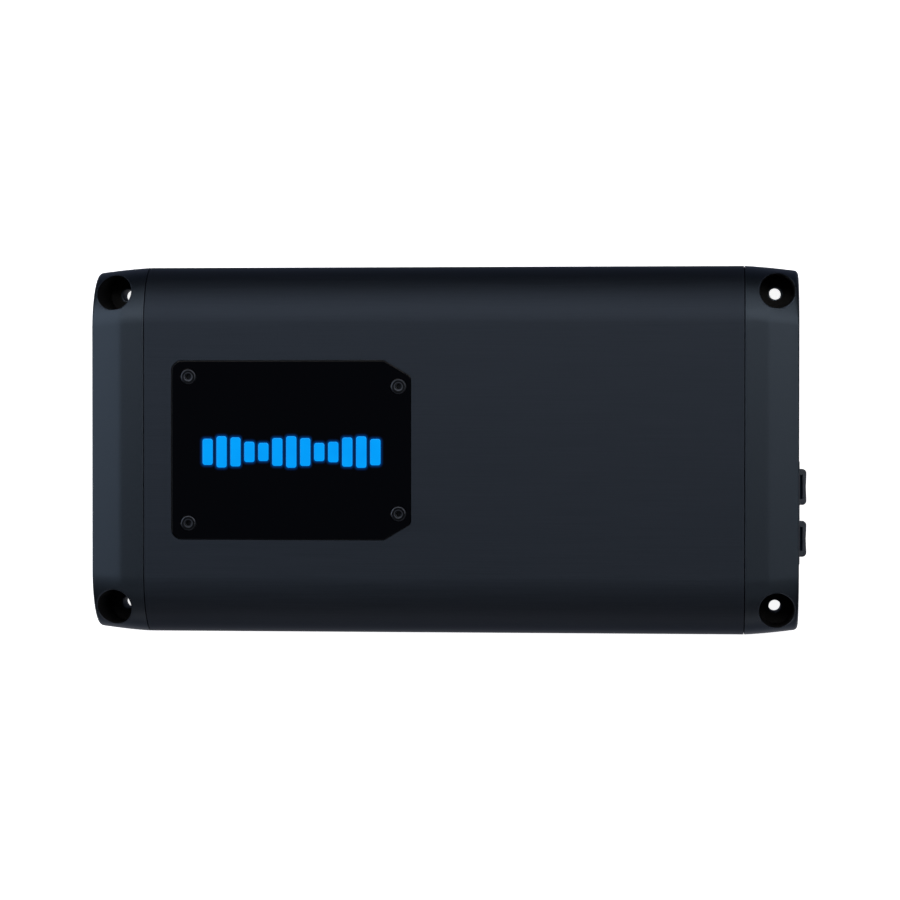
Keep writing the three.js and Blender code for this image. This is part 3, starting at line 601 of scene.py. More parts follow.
def cap_shape():
    """Sections from the seam to the end face, closer together where the surface bends."""
    t = np.linspace(0, math.pi / 2, 7)
    start = [(CAP_START, 0.3), (CAP_START + 0.1, 0.1), (CAP_START + 0.3, 0)]
    run = [(x, 0) for x in CAP_STATIONS]
    end = [(END_X - CAP_EDGE + CAP_EDGE * math.sin(a), CAP_EDGE * (1 - math.cos(a))) for a in t]
    return skin([on_axis(cap_section(x, pull), x, "x") for x, pull in start + run + end])


def cap_cuts():
    """Bay, panel seat, two wells with their holes, and the cap screws' recesses."""
    cuts = [prism(rectangle(*BAY, 4, 8), "x", SEAT_END - 1, END_X + 1, 0),
            prism(rectangle(*PANEL_SEAT, 0.8), "x", CAP_START - 1, SEAT_END, 0)]
    for side in (-1, 1):
        centre = (WELL_PLACE[0], side * WELL_PLACE[1])
        screw = (side * CAP_SCREW_PLACE[0], CAP_SCREW_PLACE[1])
        cuts += [bore(WELL_RADIUS, WELL_FLOOR, HEIGHT + 1, "z", centre, 96),
                 bore(HOLE_RADIUS, -1, WELL_FLOOR + 1, "z", centre, 48),
                 bore(CAP_SCREW_HOLE, CAP_START - 1, RECESS_FLOOR + 1, "x", screw, 20),
                 bore(CAP_SCREW_RECESS, RECESS_FLOOR, END_X + 1, "x", screw, 40)]
    return cuts


def cut_rims(point):
    """True on the rims of the wells, their holes, the bay and the cap screws' recesses."""
    x, y, z = point
    off_well = math.hypot(x - WELL_PLACE[0], abs(y) - WELL_PLACE[1])
    well = abs(off_well - WELL_RADIUS) < 0.05 and z > WELL_FLOOR + 1
    hole = abs(off_well - HOLE_RADIUS) < 0.05
    bay = x > END_X - 0.05 and abs(y) < BAY[1] + 0.5 and z < BAY[3] + 0.5
    off_screw = math.hypot(abs(y) - CAP_SCREW_PLACE[0], z - CAP_SCREW_PLACE[1])
    screw = x > END_X - CAP_FALL and off_screw < CAP_SCREW_RECESS + 0.1
    return well or hole or bay or screw


def cap_coat_and_painted_light_slots(mesh):
    """Slots: 2 painted rim highlight (set by the rounding), 1 painted shade in a screw well, 0 elsewhere."""
    count = len(mesh.polygons)
    middles, slots = np.empty(count * 3), np.empty(count, np.int32)
    mesh.polygons.foreach_get("center", middles)
    mesh.polygons.foreach_get("material_index", slots)
    x, y = (np.abs(middles.reshape(-1, 3)) / MM).T[:2]
    off_well = np.hypot(x - WELL_PLACE[0], y - WELL_PLACE[1])
    slots[(off_well < WELL_RADIUS) & (slots == 0)] = 1
    return slots


# %% Both caps
RIM_ROUNDING = 0.6
for name in ("right_end_cap", "left_end_cap"):
    cap = solid(name + "_casting", cap_shape())
    carve(cap, cap_cuts())
    # The softened rims take slot 2, the painted highlight.
    soften(cap, RIM_ROUNDING, cut_rims, material=2)
    slots = cap_coat_and_painted_light_slots(cap.data)
    if name == "left_end_cap":
        to_left(cap)
    finish_piece(cap, cast_coat, [name])
    # Slot 1 is the painted shade inside the screw wells, slot 2 the painted highlight on the rims.
    cap.data.materials.append(cast_well_painted_shade)
    cap.data.materials.append(cast_rim_painted_highlight)
    cap.data.polygons.foreach_set("material_index", slots)

# %% [markdown]
# ## Screws with hexagon sockets
# The window's screws have low heads with a rounded rim, and the cap screws have shallow cheese heads. Both
# are turned profiles with a six-sided socket cut in and a dished lead-in to it.


# %% Screws
def dome(radius, top_radius, low, high, count=8):
    """Profile of a low dome: an ellipse's quarter from the rim at low up to the flat at high."""
    t = np.linspace(0, math.pi / 2, count)
    return [(top_radius + (radius - top_radius) * math.cos(a), low + (high - low) * math.sin(a)) for a in t]


def socket_screw(name, profile, axis, centre, socket, depth, top, node, material, flip=False):
    """A turned head with a hexagonal socket of the given corner radius and depth, and a dished lead-in."""
    piece = solid(name, lathe(profile, axis, centre))
    hexagon = circle(socket, 6) + np.array(centre)
    lead = [(0, top - 0.7), (socket * 0.8, top - 0.22), (socket + 0.45, top), (socket + 0.45, top + 1)]
    carve(piece, [prism(hexagon, axis, top - depth, top + 1, 0), lathe(lead, axis, centre, 36)])
    if flip:
        to_left(piece)
    finish_piece(piece, material, [node])


for i, place in enumerate(plate_screws):
    low, high = span(f"window_screw_{i + 1}")
    under, top = high[2] - 2.0, high[2]
    profile = [(0, low[2]), (1.6, low[2]), (1.9, low[2] + 0.4), (1.9, under), (SCREW_HEAD - 0.2, under),
               (SCREW_HEAD, under + 0.2)]
    profile += dome(SCREW_HEAD, SCREW_HEAD - 0.8, top - 0.6, top, 10) + [(0, top)]
    socket_screw(f"window_button_screw_{i + 1}", profile, "z", place[:2], 1.45, 1.3, top,
                 f"window_screw_{i + 1}", steel_with_painted_rings)

for end in ("left", "right"):
    for side in ("front", "back"):
        node = f"cap_screw_{end}_{side}"
        low, high = outward(node) if end == "left" else span(node)
        tip, top = low[0], high[0]
        profile = [(0, tip), (1.2, tip), (1.5, tip + 0.5), (1.5, top - 2.6), (3.0, top - 2.6),
                   (3.2, top - 2.4)]
        profile += [(3.2, top - 0.7)] + dome(3.2, 2.6, top - 0.7, top, 5)[1:] + [(0, top)]
        socket_screw(f"{node}_head", profile, "x", middle(node)[1:], 1.25, 1.6, top, node,
                     black_oxide, end == "left")

# %% [markdown]
# ## The gloss window plate
# Polished black acrylic drinks the light: it shows only what it mirrors. Round the lit mark it glows a
# little, because light leaks sideways through the sheet. The glow is worked out in the shader as the distance
# to the nearest bar, so it stays on the plate from every side.

# %% Where the bars of the mark stand
MARK_BARS = 13
MARK_PITCH = 7.4
BAR_WIDTH = 5.2
BAR_CORNER = 1.2
MARK_HEIGHT = 16.3
MARK_X = -79.35
MARK_Y = -0.95
BAR_LEAST, BAR_SWING, BAR_WAVES = 0.42, 0.58, 1.25
SLOT_GAP = 0.12
GLOW_REACH = 2.2
GLOW_LEVEL, GLOW_FALL = 0.34, 2.6
bar_index = np.arange(MARK_BARS)
bar_x = MARK_X + (bar_index - (MARK_BARS - 1) / 2) * MARK_PITCH
bar_t = 2 * bar_index / (MARK_BARS - 1) - 1
bar_height = MARK_HEIGHT * (BAR_LEAST + BAR_SWING * np.abs(np.cos(BAR_WAVES * math.pi * bar_t)))
print("bar heights in mm:", np.round(bar_height, 1).tolist())


def bar_prisms(gap, low, high, edge):
    """Every bar of the mark, grown by the gap, between two heights."""
    sizes = [(BAR_WIDTH + 2 * gap, height + 2 * gap, BAR_CORNER + gap, 6) for height in bar_height]
    return [prism(centred(x, MARK_Y, *size), "z", low, high, edge, 2) for x, size in zip(bar_x, sizes)]


# %% Acrylic with leaking light
def glowing_acrylic():
    """Glow of (1 - d / reach)^fall at a distance d from the nearest bar, by the bars' own formula."""
    material, tree, shader = new_material("acrylic_cast_black_polished", Base_Color="020203", Roughness=0.06,
                                          IOR=1.49, Emission_Color="0070e0")
    place = add(tree, "ShaderNodeTexCoord", {}).outputs["Object"]
    apart = add(tree, "ShaderNodeSeparateXYZ", {"Vector": place})
    across = maths(tree, "DIVIDE", maths(tree, "SUBTRACT", apart.outputs["X"], MARK_X * MM), MARK_PITCH * MM)
    last = (MARK_BARS - 1) / 2
    nearest = maths(tree, "ROUND", across)
    nearest = maths(tree, "MINIMUM", maths(tree, "MAXIMUM", nearest, -last), last)
    sideways = maths(tree, "ABSOLUTE", maths(tree, "SUBTRACT", across, nearest))
    sideways = maths(tree, "MULTIPLY", sideways, MARK_PITCH)
    swell = maths(tree, "COSINE", maths(tree, "MULTIPLY", nearest, BAR_WAVES * math.pi / last))
    swell = maths(tree, "MULTIPLY", maths(tree, "ABSOLUTE", swell), BAR_SWING / 2 * MARK_HEIGHT)
    half = maths(tree, "ADD", swell, BAR_LEAST / 2 * MARK_HEIGHT)
    upright = maths(tree, "ABSOLUTE", maths(tree, "SUBTRACT", apart.outputs["Y"], MARK_Y * MM))
    upright = maths(tree, "DIVIDE", upright, MM)
    out_x = maths(tree, "MAXIMUM", maths(tree, "SUBTRACT", sideways, BAR_WIDTH / 2 - BAR_CORNER), 0.0)
    rise = maths(tree, "SUBTRACT", half, BAR_CORNER)
    out_y = maths(tree, "MAXIMUM", maths(tree, "SUBTRACT", upright, rise), 0.0)
    squares = maths(tree, "ADD", maths(tree, "POWER", out_x, 2.0), maths(tree, "POWER", out_y, 2.0))
    distance = maths(tree, "SUBTRACT", maths(tree, "SQRT", squares), BAR_CORNER)
    fading = remap(tree, distance, 0.0, GLOW_REACH, 1.0, 0.0)
    strength = maths(tree, "MULTIPLY", maths(tree, "POWER", fading, GLOW_FALL), GLOW_LEVEL)
    fill(shader, {"Emission Strength": strength})
    return material


acrylic = glowing_acrylic()

# %% Window plate
SINK_DEPTH = 2.2
SINK_RADIUS = 4.15
CLEARANCE_HOLE = 2.3
plate = solid("window_plate_acrylic", prism(plate_outline(0), "z", plate_low[2], plate_high[2], 0.25, 3))
floor, top = plate_high[2] - SINK_DEPTH, plate_high[2]
cuts = bar_prisms(SLOT_GAP, plate_low[2] - 1, top + 1, 0)
for place in plate_screws:
    sink = [(SINK_RADIUS, floor), (SINK_RADIUS, top - 0.08), (SINK_RADIUS + 0.08, top),
            (SINK_RADIUS + 0.08, top + 1)]
    cuts += [bore(CLEARANCE_HOLE, plate_low[2] - 1, top, "z", place[:2], 32),
             lathe(sink, "z", place[:2], 64)]
carve(plate, cuts)
finish_piece(plate, acrylic, ["window_plate"])

# %% [markdown]
# ## The lit mark
# The mark is a light guide of clear acrylic: a plate over the LEDs with bars that stand up through slots in
# the window plate and end flush with it. Lit from behind it is an even blue, so the shader gives its light.

# %% Light guide
lit_blue, tree, shader = new_material("acrylic_moulded_lit_blue", Base_Color="000d18", Roughness=0.12,
                                      IOR=1.49, Emission_Strength=1.0)
fill(shader, {"Emission Color": mixed_colour(tree, pattern(tree, 9, 1.0), "0096f4", "00a4ff")})
GUIDE_TOP = 55.3
base = prism(rectangle(guide_low[0], guide_high[0], guide_low[1], guide_high[1], 1.0), "z",
             guide_low[2], GUIDE_TOP, 0.2)
guide = solid("light_guide_bars", base)
carve(guide, bar_prisms(0, GUIDE_TOP - 0.2, guide_high[2], 0.12), "UNION")
finish_piece(guide, lit_blue, ["light_guide"])

# %% [markdown]
# ## The power end
# A powder-coated panel closes the bay. Through it stand the fuse holder and two terminal blocks. Each block
# has wire ports below and clamping screws above, and each power port is lined with a brass sleeve.

# %% Panel and its openings
panel_low, panel_high = span("power_panel")
PANEL_FACE = panel_high[0]
LIP = {"fuse_holder": 3.0, "power_terminal_block": 1.5, "speaker_terminal_block": 1.5}


def body_through_panel(node):
    """The box of the part of a connector that passes the panel: its face drawn in by the lip."""
    low, high = span(node)
    return low + [0, LIP[node], 0], high - [0, LIP[node], LIP[node]]


def panel_window(low, high, corner):
    """A rectangular opening for a box right through the panel, with the fitting gap all round."""
    return prism(end_view(low, high, FIT_GAP, corner), "x", panel_low[0] - 1, PANEL_FACE + 1, 0)


panel_blank = prism(end_view(panel_low, panel_high, 0, 1.5), "x", panel_low[0], PANEL_FACE, 0.2)
power_panel = solid("power_panel_sheet", panel_blank)
carve(power_panel, [panel_window(*body_through_panel(node), 0.4) for node in LIP])
finish_piece(power_panel, powder_coat, ["power_panel"])


# %% Connector bodies
def connector(name, node):
    """A face that stops against the panel and a narrower back that passes it and stands on the board."""
    low, high = span(node)
    back_low, back_high = body_through_panel(node)
    back = block(back_low, (PANEL_FACE + 1, *back_high[1:]), 0.2, 0.3)
    face = block((PANEL_FACE + FIT_GAP, low[1], low[2]), high, 0.6, 1.0)
    return carve(solid(name, face), [back], "UNION")


PORT_Z, PORT_END = 17.5, 152
SCREW_Z, SCREW_END = 30.5, 160
SPLIT_WIDTH, SPLIT_DEPTH = 0.7, 0.8
POWER_PORTS = [middle(f"power_terminal_screw_{i + 1}")[1] for i in range(3)]
SPEAKER_PORTS = [middle(f"speaker_terminal_screw_{i + 1}")[1] for i in range(4)]


def terminal_block(name, node, ports, port, screw_hole):
    """Funnel-mouthed wire ports below, plain screw holes above and grooves between the ports."""
    piece = connector(name, node)
    low, high = span(node)
    face = high[0]
    cuts = []
    for y in ports:
        mouth = [(port, PORT_END), (port, face - 1.4), (port + 0.5, face), (port + 0.5, face + 1)]
        hole = [(screw_hole, SCREW_END), (screw_hole, face - 0.3), (screw_hole + 0.3, face),
                (screw_hole + 0.3, face + 1)]
        cuts += [lathe(mouth, "x", (y, PORT_Z), 40), lathe(hole, "x", (y, SCREW_Z), 32)]
    for y in (np.array(ports[1:]) + ports[:-1]) / 2:
        groove = rectangle(y - SPLIT_WIDTH / 2, y + SPLIT_WIDTH / 2, low[2] - 1, high[2] + 1, 0.2)
        cuts.append(prism(groove, "x", face - SPLIT_DEPTH, face + 1, 0))
    carve(piece, cuts)
    finish_piece(piece, nylon, [node])


terminal_block("power_block_housing", "power_terminal_block", POWER_PORTS, 4.4, 3.4)
terminal_block("speaker_block_housing", "speaker_terminal_block", SPEAKER_PORTS, 2.7, 2.5)


# %% Terminal screws and wire sleeves
def set_screw(name, node, socket):
    """A chamfered cylinder with thread-like rings behind its face and a hexagonal socket."""
    low, high = span(node)
    centre, radius = middle(node)[1:], (high[1] - low[1]) / 2
    turns = np.arange(low[0] + 1.5, high[0] - 1.2, 0.8)
    rings = [(radius - 0.22 * (i % 2), x) for i, x in enumerate(turns)]
    profile = [(0, low[0]), (radius * 0.8, low[0]), (radius, low[0] + 0.8)] + rings
    profile += [(radius, high[0] - 0.5), (radius - 0.4, high[0]), (0, high[0])]
    socket_screw(name, profile, "x", centre, socket, 2.2, high[0], node, nickel)


for i, y in enumerate(POWER_PORTS):
    set_screw(f"power_clamp_screw_{i + 1}", f"power_terminal_screw_{i + 1}", 1.6)
    node = f"power_terminal_sleeve_{i + 1}"
    low, high = span(node)
    outer = (high[1] - low[1]) / 2
    profile = [(outer - 0.2, low[0]), (outer, low[0] + 0.2), (outer, high[0] - 0.3), (outer - 0.3, high[0]),
               (outer - 0.6, high[0]), (outer - 0.8, high[0] - 0.3), (outer - 0.8, low[0] + 2)]
    sleeve = solid(f"power_wire_sleeve_{i + 1}", lathe(profile, "x", (y, PORT_Z)))
    finish_piece(sleeve, turned_brass, [node])
for i in range(4):
    set_screw(f"speaker_clamp_screw_{i + 1}", f"speaker_terminal_screw_{i + 1}", 1.15)

# %% [markdown]
# ## Fuses and their holder
# A blade fuse is a flat plastic head on two metal blades. Here it lies flat, so its wide face looks up. The
# head has a finger groove near its end and a sunk window behind it. The holder is a nylon block with a pocket
# and two slots per fuse.

# %% Fuse sizes
fuse_spans = [span(f"fuse_{i + 1}") for i in range(2)]
fuse_z = middle("fuse_1")[2]
HEAD_START = 178.8
BLADE_WIDE = 5.2
BLADE_PITCH = 9.8
BLADE_THICK = 0.7
BLADE_SLOT = (5.6, 1.4)
SLOT_END = 166
GRIP_DEEP, GRIP_HALF, GRIP_BACK, GRIP_LONG = 2.0, 0.75, 2.9, 12.6
SUNK_DEEP, SUNK_FRONT, SUNK_BACK, SUNK_WIDE = 0.6, 1.2, 5.2, 13.2

# %% Holder
holder = connector("fuse_holder_housing", "fuse_holder")
cuts = []
for low, high in fuse_spans:
    y = (low[1] + high[1]) / 2
    pocket = end_view(low, high, FIT_GAP, 0.5)
    cuts.append(prism(pocket, "x", HEAD_START - FIT_GAP, span("fuse_holder")[1][0] + 1, 0))
    for side in (-0.5, 0.5):
        slot = centred(y + side * BLADE_PITCH, fuse_z, *BLADE_SLOT, 0.2)
        cuts.append(prism(slot, "x", SLOT_END, HEAD_START + 1, 0))
carve(holder, cuts)
soften(holder, 0.2)
finish_piece(holder, nylon, ["fuse_holder"])

# %% Fuses
for i, (low, high) in enumerate(fuse_spans):
    y = (low[1] + high[1]) / 2
    head = filleted([(HEAD_START, low[1], 0.6), (high[0], low[1], 2.2), (high[0] - 0.35, y, 8.0),
                     (high[0], high[1], 2.2), (HEAD_START, high[1], 0.6)], 10)
    piece = solid(f"fuse_head_{i + 1}", prism(head, "z", low[2], high[2], 0.5, 4))
    cuts = []
    for face in (low[2], high[2]):
        groove = np.array([(-GRIP_DEEP, 0), (0, -GRIP_HALF), (GRIP_DEEP, 0), (0, GRIP_HALF)])
        groove += (face, high[0] - GRIP_BACK)
        cuts.append(prism(groove, "y", y - GRIP_LONG / 2, y + GRIP_LONG / 2, 0))
        sunk = rectangle(HEAD_START + SUNK_FRONT, high[0] - SUNK_BACK,
                         y - SUNK_WIDE / 2, y + SUNK_WIDE / 2, 0.6)
        cuts.append(prism(sunk, "z", face - SUNK_DEEP, face + SUNK_DEEP, 0))
    carve(piece, cuts)
    soften(piece, 0.18)
    finish_piece(piece, smoked, [f"fuse_{i + 1}"], f"fuse_{i + 1}")
    blades = []
    for side in (-0.5, 0.5):
        y0 = y + side * BLADE_PITCH - BLADE_WIDE / 2
        y1 = y0 + BLADE_WIDE
        outline = filleted([(low[0], y0, 1.2), (HEAD_START + 1, y0, 0), (HEAD_START + 1, y1, 0),
                            (low[0], y1, 1.2)])
        blades.append(prism(outline, "z", fuse_z - BLADE_THICK / 2, fuse_z + BLADE_THICK / 2, 0.1, 2))
    finish_piece(solid(f"fuse_blades_{i + 1}", *blades), blade_zinc, [], f"fuse_{i + 1}")

# %% [markdown]
# ## The input end
# The controls sit behind the left cap's bay: four signal jacks, four knobs, two slide switches, a socket for
# a remote level control and two status lights. They are drawn for the right end and turned round at the end.

# %% Places at the input end
KNOB_NODES = ("gain_knob", "lowpass_knob", "subsonic_knob", "bass_knob")
SWITCH_NODES = ("phase_switch", "level_switch")
jack_centres = [middle(f"rca_shell_{i + 1}")[1:] for i in range(4)]
remote_low, remote_high = outward("remote_port")
SWITCH_TRAVEL = 3.0


# %% Input panel
def panel_hole(radius, centre, count=32):
    """A round hole right through the panel."""
    return bore(radius, panel_low[0] - 1, PANEL_FACE + 1, "x", centre, count)


input_panel = solid("input_panel_sheet", panel_blank)
cuts = [panel_hole(2.1, middle(node)[1:]) for node in KNOB_NODES]
cuts += [panel_hole(3.6, centre) for centre in jack_centres]
for node in SWITCH_NODES:
    low, high = outward(node)
    cuts.append(panel_window(low, high + [0, SWITCH_TRAVEL, 0], 0.3))
cuts += [panel_hole(1.7, middle(node)[1:], 24) for node in ("power_led", "protect_led")]
cuts.append(panel_window(remote_low, remote_high, 0.4))
carve(input_panel, cuts)
finish_piece(to_left(input_panel), powder_coat, ["input_panel"])

# %% Signal jacks
JACK_FACE = 165.6
CORE_FLOOR = JACK_FACE + 1.6
block_low, block_high = outward("rca_block")
rear = block(block_low, (JACK_FACE, *block_high[1:]), 0.3, 0.6)
finish_piece(to_left(solid("rca_block_rear", rear)), nylon, ["rca_block"])
for i, centre in enumerate(jack_centres):
    tip = block_high[0]
    core = [(3.1, JACK_FACE), (3.1, tip - 0.4), (2.7, tip), (1.9, tip), (1.6, tip - 0.3)]
    core += [(1.6, CORE_FLOOR), (0, CORE_FLOOR)]
    piece = solid(f"rca_core_{i + 1}", lathe(core, "x", centre))
    finish_piece(to_left(piece), abs_red if i % 2 else abs_white, [])
    low, high = outward(f"rca_shell_{i + 1}")
    foot, tip = low[0], high[0]
    shell = [(3.6, foot), (5.7, foot), (6.0, foot + 0.25), (6.0, foot + 0.95), (5.7, foot + 1.2),
             (4.7, foot + 1.3), (4.3, foot + 1.7), (4.3, tip - 0.5), (4.1, tip - 0.12), (3.95, tip),
             (3.8, tip), (3.6, tip - 0.25)]
    points, faces = lathe(shell + [shell[0]], "x", centre)
    piece = solid(f"rca_jack_shell_{i + 1}", (points, faces[:-2]))
    finish_piece(to_left(piece), nickel, [f"rca_shell_{i + 1}"])

# %% [markdown]
# ## Control knobs
# A moulded knob is a fluted cylinder whose front edge is rounded and whose face is dished, with a slot for a
# screwdriver. The surface is one grid: angle round the shaft, and height along it.

# %% Knobs
KNOB_RADIUS = 4.95
KNOB_FOOT = 168.6
FLUTES = 12
FLUTE_DEPTH = 0.45


def fluted_knob(front, centre):
    """Radius r = R - d (1 - cos N a) / 2 along the grip; d fades to 0 at the front edge and the dish."""
    angle = np.linspace(0, 2 * math.pi, 12 * FLUTES + 1)[:-1]
    flute = FLUTE_DEPTH * (1 - np.cos(FLUTES * angle)) / 2
    levels = [(0.25, KNOB_FOOT, 0), (0.25, KNOB_FOOT + 0.9, 0), (0.05, KNOB_FOOT + 1.2, 0),
              (0, KNOB_FOOT + 1.5, 1), (-0.1, front - 0.9, 1), (-0.35, front - 0.3, 0.7), (-0.8, front, 0),
              (-1.3, front, 0), (-1.7, front - 0.35, 0), (-KNOB_RADIUS, front - 0.5, 0)]
    rings = []
    for step, x, share in levels:
        reach = np.maximum(KNOB_RADIUS + step - flute * share, 0.01)
        outline = np.column_stack([centre[0] + reach * np.cos(angle), centre[1] + reach * np.sin(angle)])
        rings.append(on_axis(outline, x, "x"))
    return skin(rings)


for node in KNOB_NODES:
    low, high = outward(node)
    centre = middle(node)[1:]
    piece = solid(node + "_fluted", fluted_knob(high[0], centre))
    carve(piece, [bore(1.6, low[0], KNOB_FOOT + 0.4, "x", centre, 32)], "UNION")
    slot = rectangle(centre[0] - 0.5, centre[0] + 0.5, centre[1] - 3.2, centre[1] + 3.9, 0.3)
    carve(piece, [prism(slot, "x", high[0] - 1.4, high[0] + 1, 0)])
    finish_piece(to_left(piece), knob_nylon, [node], node)

# %% [markdown]
# ## Switch levers, socket and lights
# A slide switch's lever is a small acetal block with grip grooves. The remote socket is a square nylon jack
# with spring contacts, and each light is a 3 mm LED whose domed lens stands out of the panel.

# %% Small controls
LENS_RADIUS = 1.5
for node in SWITCH_NODES:
    low, high = outward(node)
    piece = solid(node + "_lever", block(low, high, 0.25, 0.35))
    cuts = []
    for y in np.linspace(low[1], high[1], 6)[1:-1]:
        groove = rectangle(y - 0.16, y + 0.16, low[2] - 1, high[2] + 1, 0.05)
        cuts.append(prism(groove, "x", high[0] - 0.35, high[0] + 1, 0))
    carve(piece, cuts)
    finish_piece(to_left(piece), lever_plastic, [node], node)

socket = solid("remote_socket_housing", block(remote_low, remote_high, 0.3, 0.5))
cavity = rectangle(remote_low[1] + 1.8, remote_high[1] - 1.8, remote_low[2] + 2.0, remote_high[2] - 4.0, 0.3)
latch = rectangle(remote_low[1] + 4.8, remote_high[1] - 4.8, remote_high[2] - 4.5, remote_high[2] - 1.6, 0.3)
carve(socket, [prism(cavity, "x", remote_low[0] + 1.4, remote_high[0] + 1, 0),
               prism(latch, "x", remote_low[0] + 1.4, remote_high[0] + 1, 0)])
finish_piece(to_left(socket), nylon, ["remote_port"])
remote_y = (remote_low[1] + remote_high[1]) / 2
contacts = []
for step in np.arange(-2.5, 3.0, 1.0):
    y = remote_y + step
    contacts.append(block((remote_low[0] + 1.2, y - 0.2, remote_low[2] + 1.7),
                          (remote_high[0] - 2.0, y + 0.2, remote_low[2] + 2.5), 0.08, 0.1))
finish_piece(to_left(solid("remote_socket_contacts", *contacts)), contact_gold, [])

for node, material, slot in (("power_led", blue_lens, "blue_lens"), ("protect_led", red_lens, "red_lens")):
    low, high = outward(node)
    collar = low[0] + 3.6
    flange = LENS_RADIUS + 0.4
    profile = [(0, low[0]), (flange, low[0]), (flange, collar), (LENS_RADIUS, collar + 0.2)]
    profile += dome(LENS_RADIUS, 0.0, high[0] - LENS_RADIUS, high[0], 10)
    lens = solid(node + "_lens", lathe(profile, "x", middle(node)[1:], 40))
    finish_piece(to_left(lens), material, [node])

# %% [markdown]
# ## What stays hidden
# The boards, transformer, choke, capacitors and transistors are inside and keep their CAD shapes. They still
# get finishes of their own: solder mask with a faint trace pattern, enamelled copper wire, shrink sleeve and
# moulded epoxy. The bottom cover is a flat sheet whose CAD shape is right, so it only gets its coat.

# %% Finishes inside
solder_mask = textured("glass_epoxy_green_solder_mask", "0f3a24", "1d5a38", (3.0, 1.2, 3.0), (0.32, 0.45),
                       0.02, IOR=1.5)
copper_wire = textured("copper_wire_enamelled", "6e3614", "a4622c", (1.4, 1.4, 12.0), (0.25, 0.35), 0.15,
                       Metallic=0.6)
shrink_sleeve = textured("pet_shrink_sleeve_navy", "16233c", "1e2f4f", (2, 2, 9), (0.22, 0.30), 0.01,
                         IOR=1.57)
mould_epoxy = textured("epoxy_moulded_black", "131415", "1a1b1c", 0.5, (0.55, 0.68), 0.01, IOR=1.55)
hidden = {
    solder_mask: ["led_board", "main_board", "input_board"],
    copper_wire: ["supply_transformer", "output_choke"],
    shrink_sleeve: [f"capacitor_{i + 1}" for i in range(3)],
    mould_epoxy: [f"power_transistor_{i + 1}" for i in range(4)],
    nickel: ["clamp_bar_front", "clamp_bar_back"],
    powder_coat: ["bottom_cover"],
}
for material, nodes in hidden.items():
    for node in nodes:
        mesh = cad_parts[node].data
        mesh.materials.clear()
        mesh.materials.append(material)
print(sum(len(nodes) for nodes in hidden.values()), "CAD pieces keep their shape")

# %% [markdown]
# ## Floor, light and camera
# The floor is a light table: it glows, so it reads white and the mounting holes show it. It doesn't show in
# reflections, so the dark metal mirrors a dark room with soft boxes in it, as in a studio. The room is
# lighter low down, where the table's light would come from, and lighter still towards the two ends and low in
# front. No box stands straight above, where the gloss plate would mirror it.

# %% Floor
light_table = new_material("backdrop_light_table", Roughness=0.9, Base_Color="e8e8e8",
                           Emission_Color="ffffff", Emission_Strength=0.92)[0]
bpy.ops.mesh.primitive_plane_add(size=12, location=(0, 0, -0.0002))
floor = bpy.context.object
floor.name = "floor"
floor.data.materials.append(light_table)
floor.visible_glossy = False

# %% World
ROOM_LEVEL = 0.040
TABLE_GLOW = 0.20
END_GLOW = 0.5
FRONT_GLOW = 0.35
world = bpy.data.worlds.new("studio")
bpy.context.scene.world = world
world.use_nodes = True
tree = world.node_tree
way = add(tree, "ShaderNodeTexCoord", {}).outputs["Generated"]
parts = add(tree, "ShaderNodeSeparateXYZ", {"Vector": way})
to_ends = maths(tree, "POWER", maths(tree, "ABSOLUTE", parts.outputs["X"]), 3.0)
glow = maths(tree, "ADD", TABLE_GLOW, maths(tree, "MULTIPLY", to_ends, END_GLOW))
level = remap(tree, parts.outputs["Z"], -0.45, 0.05, glow, ROOM_LEVEL)
to_front = maths(tree, "MULTIPLY", remap(tree, parts.outputs["Y"], -0.25, 0.0, 1, 0),
                 remap(tree, parts.outputs["Z"], -1.0, 0.15, 1, 0))
level = maths(tree, "ADD", level, maths(tree, "MULTIPLY", to_front, FRONT_GLOW))
near_white = maths(tree, "ADD", to_ends, to_front)
tint = mixed_colour(tree, near_white, (0.72, 0.85, 1.25, 1), (0.95, 0.96, 1.03, 1))
mirrored = tree.nodes["Background"]
fill(mirrored, {"Strength": level, "Color": tint})
seen = add(tree, "ShaderNodeBackground", {"Color": (0.93, 0.93, 0.93, 1)})
from_camera = add(tree, "ShaderNodeLightPath", {}).outputs["Is Camera Ray"]
both = add(tree, "ShaderNodeMixShader", {0: from_camera, 1: mirrored.outputs[0], 2: seen.outputs[0]})
fill(tree.nodes["World Output"], {"Surface": both.outputs[0]})


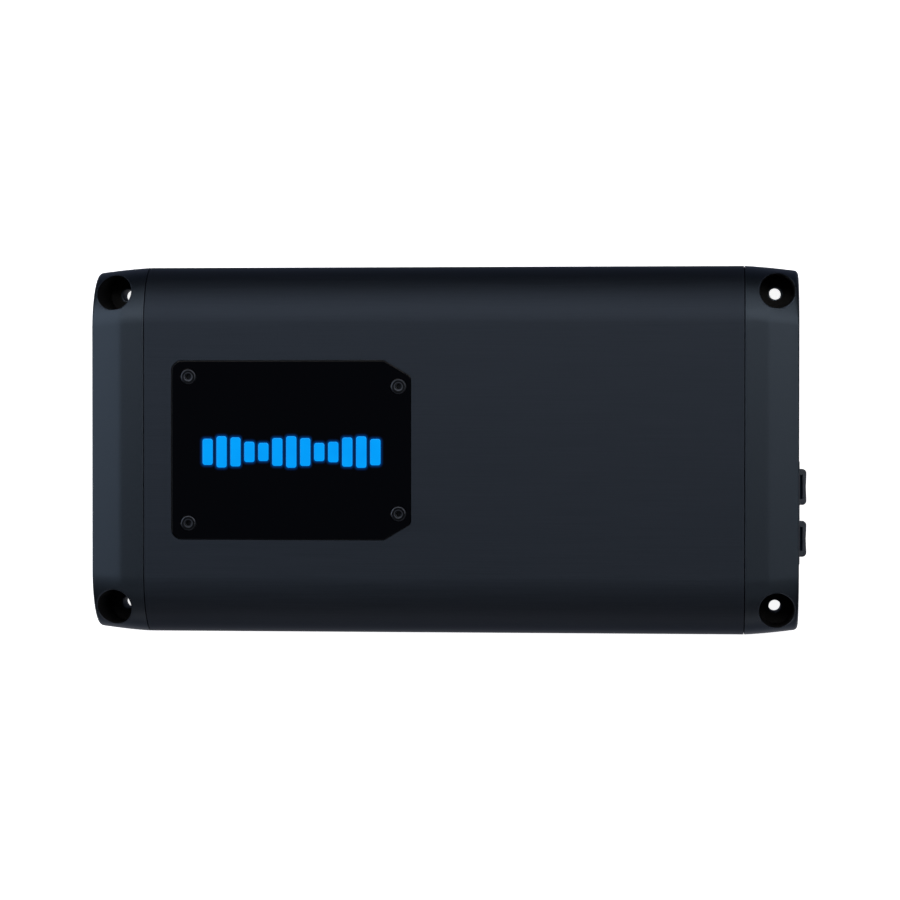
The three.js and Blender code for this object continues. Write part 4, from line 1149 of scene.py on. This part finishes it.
# %% Soft boxes
LAMP_DISTANCE = 1.9
WARM, AMBER, COOL = (1.0, 0.98, 0.96), (1.08, 0.98, 0.92), (0.93, 0.99, 1.07)


def soft_box(name, tilt_x, tilt_y, size, power, colour=(1, 1, 1)):
    """A lamp that looks at the object from tilt_x degrees towards +x and tilt_y towards +y."""
    lamp = bpy.data.lights.new(name, "AREA")
    lamp.shape = "RECTANGLE"
    lamp.size, lamp.size_y = size
    lamp.energy = power
    lamp.color = colour
    stand = bpy.data.objects.new(name, lamp)
    way = Vector((math.tan(math.radians(tilt_x)), math.tan(math.radians(tilt_y)), 1)).normalized()
    stand.location = way * LAMP_DISTANCE
    stand.rotation_euler = way.to_track_quat("Z", "Y").to_euler()
    stand.visible_camera = False
    bpy.context.collection.objects.link(stand)


soft_box("back_box_high", 3, 17, (2.0, 0.28), 10.1, WARM)
soft_box("back_box_middle", 6, 36, (2.0, 0.30), 4.1, WARM)
soft_box("back_box_low", 6, 50, (2.0, 0.50), 3.3)
soft_box("front_box", 4, -28, (2.0, 0.40), 2.0)
soft_box("front_box_middle", 4, -62, (2.0, 0.80), 1.4, AMBER)
soft_box("front_box_low", 4, -80, (2.0, 0.60), 3.8, AMBER)
soft_box("left_box_high", -34, 12, (1.4, 0.30), 4.1, COOL)
soft_box("left_box_low", -50, 18, (1.4, 0.50), 8.8, COOL)
soft_box("right_box", 26, 12, (1.4, 0.30), 3.1)
soft_box("left_end_box", -84, -10, (0.6, 1.0), 3.0)
soft_box("right_end_box", 84, -10, (0.6, 1.0), 3.0)

# %% Camera
EYE_PLACE = (0.12858, 0.01985, 1.5594)
EYE_TURN = (-0.0130, 0.0826, 0.0005)
camera = bpy.data.cameras.new("camera")
camera.sensor_width = 36
camera.lens = 115.2
camera.clip_end = 50
eye = bpy.data.objects.new("camera", camera)
eye.location = EYE_PLACE
eye.rotation_euler = EYE_TURN
bpy.context.collection.objects.link(eye)
bpy.context.scene.camera = eye
bpy.context.scene.view_settings.view_transform = "Standard"
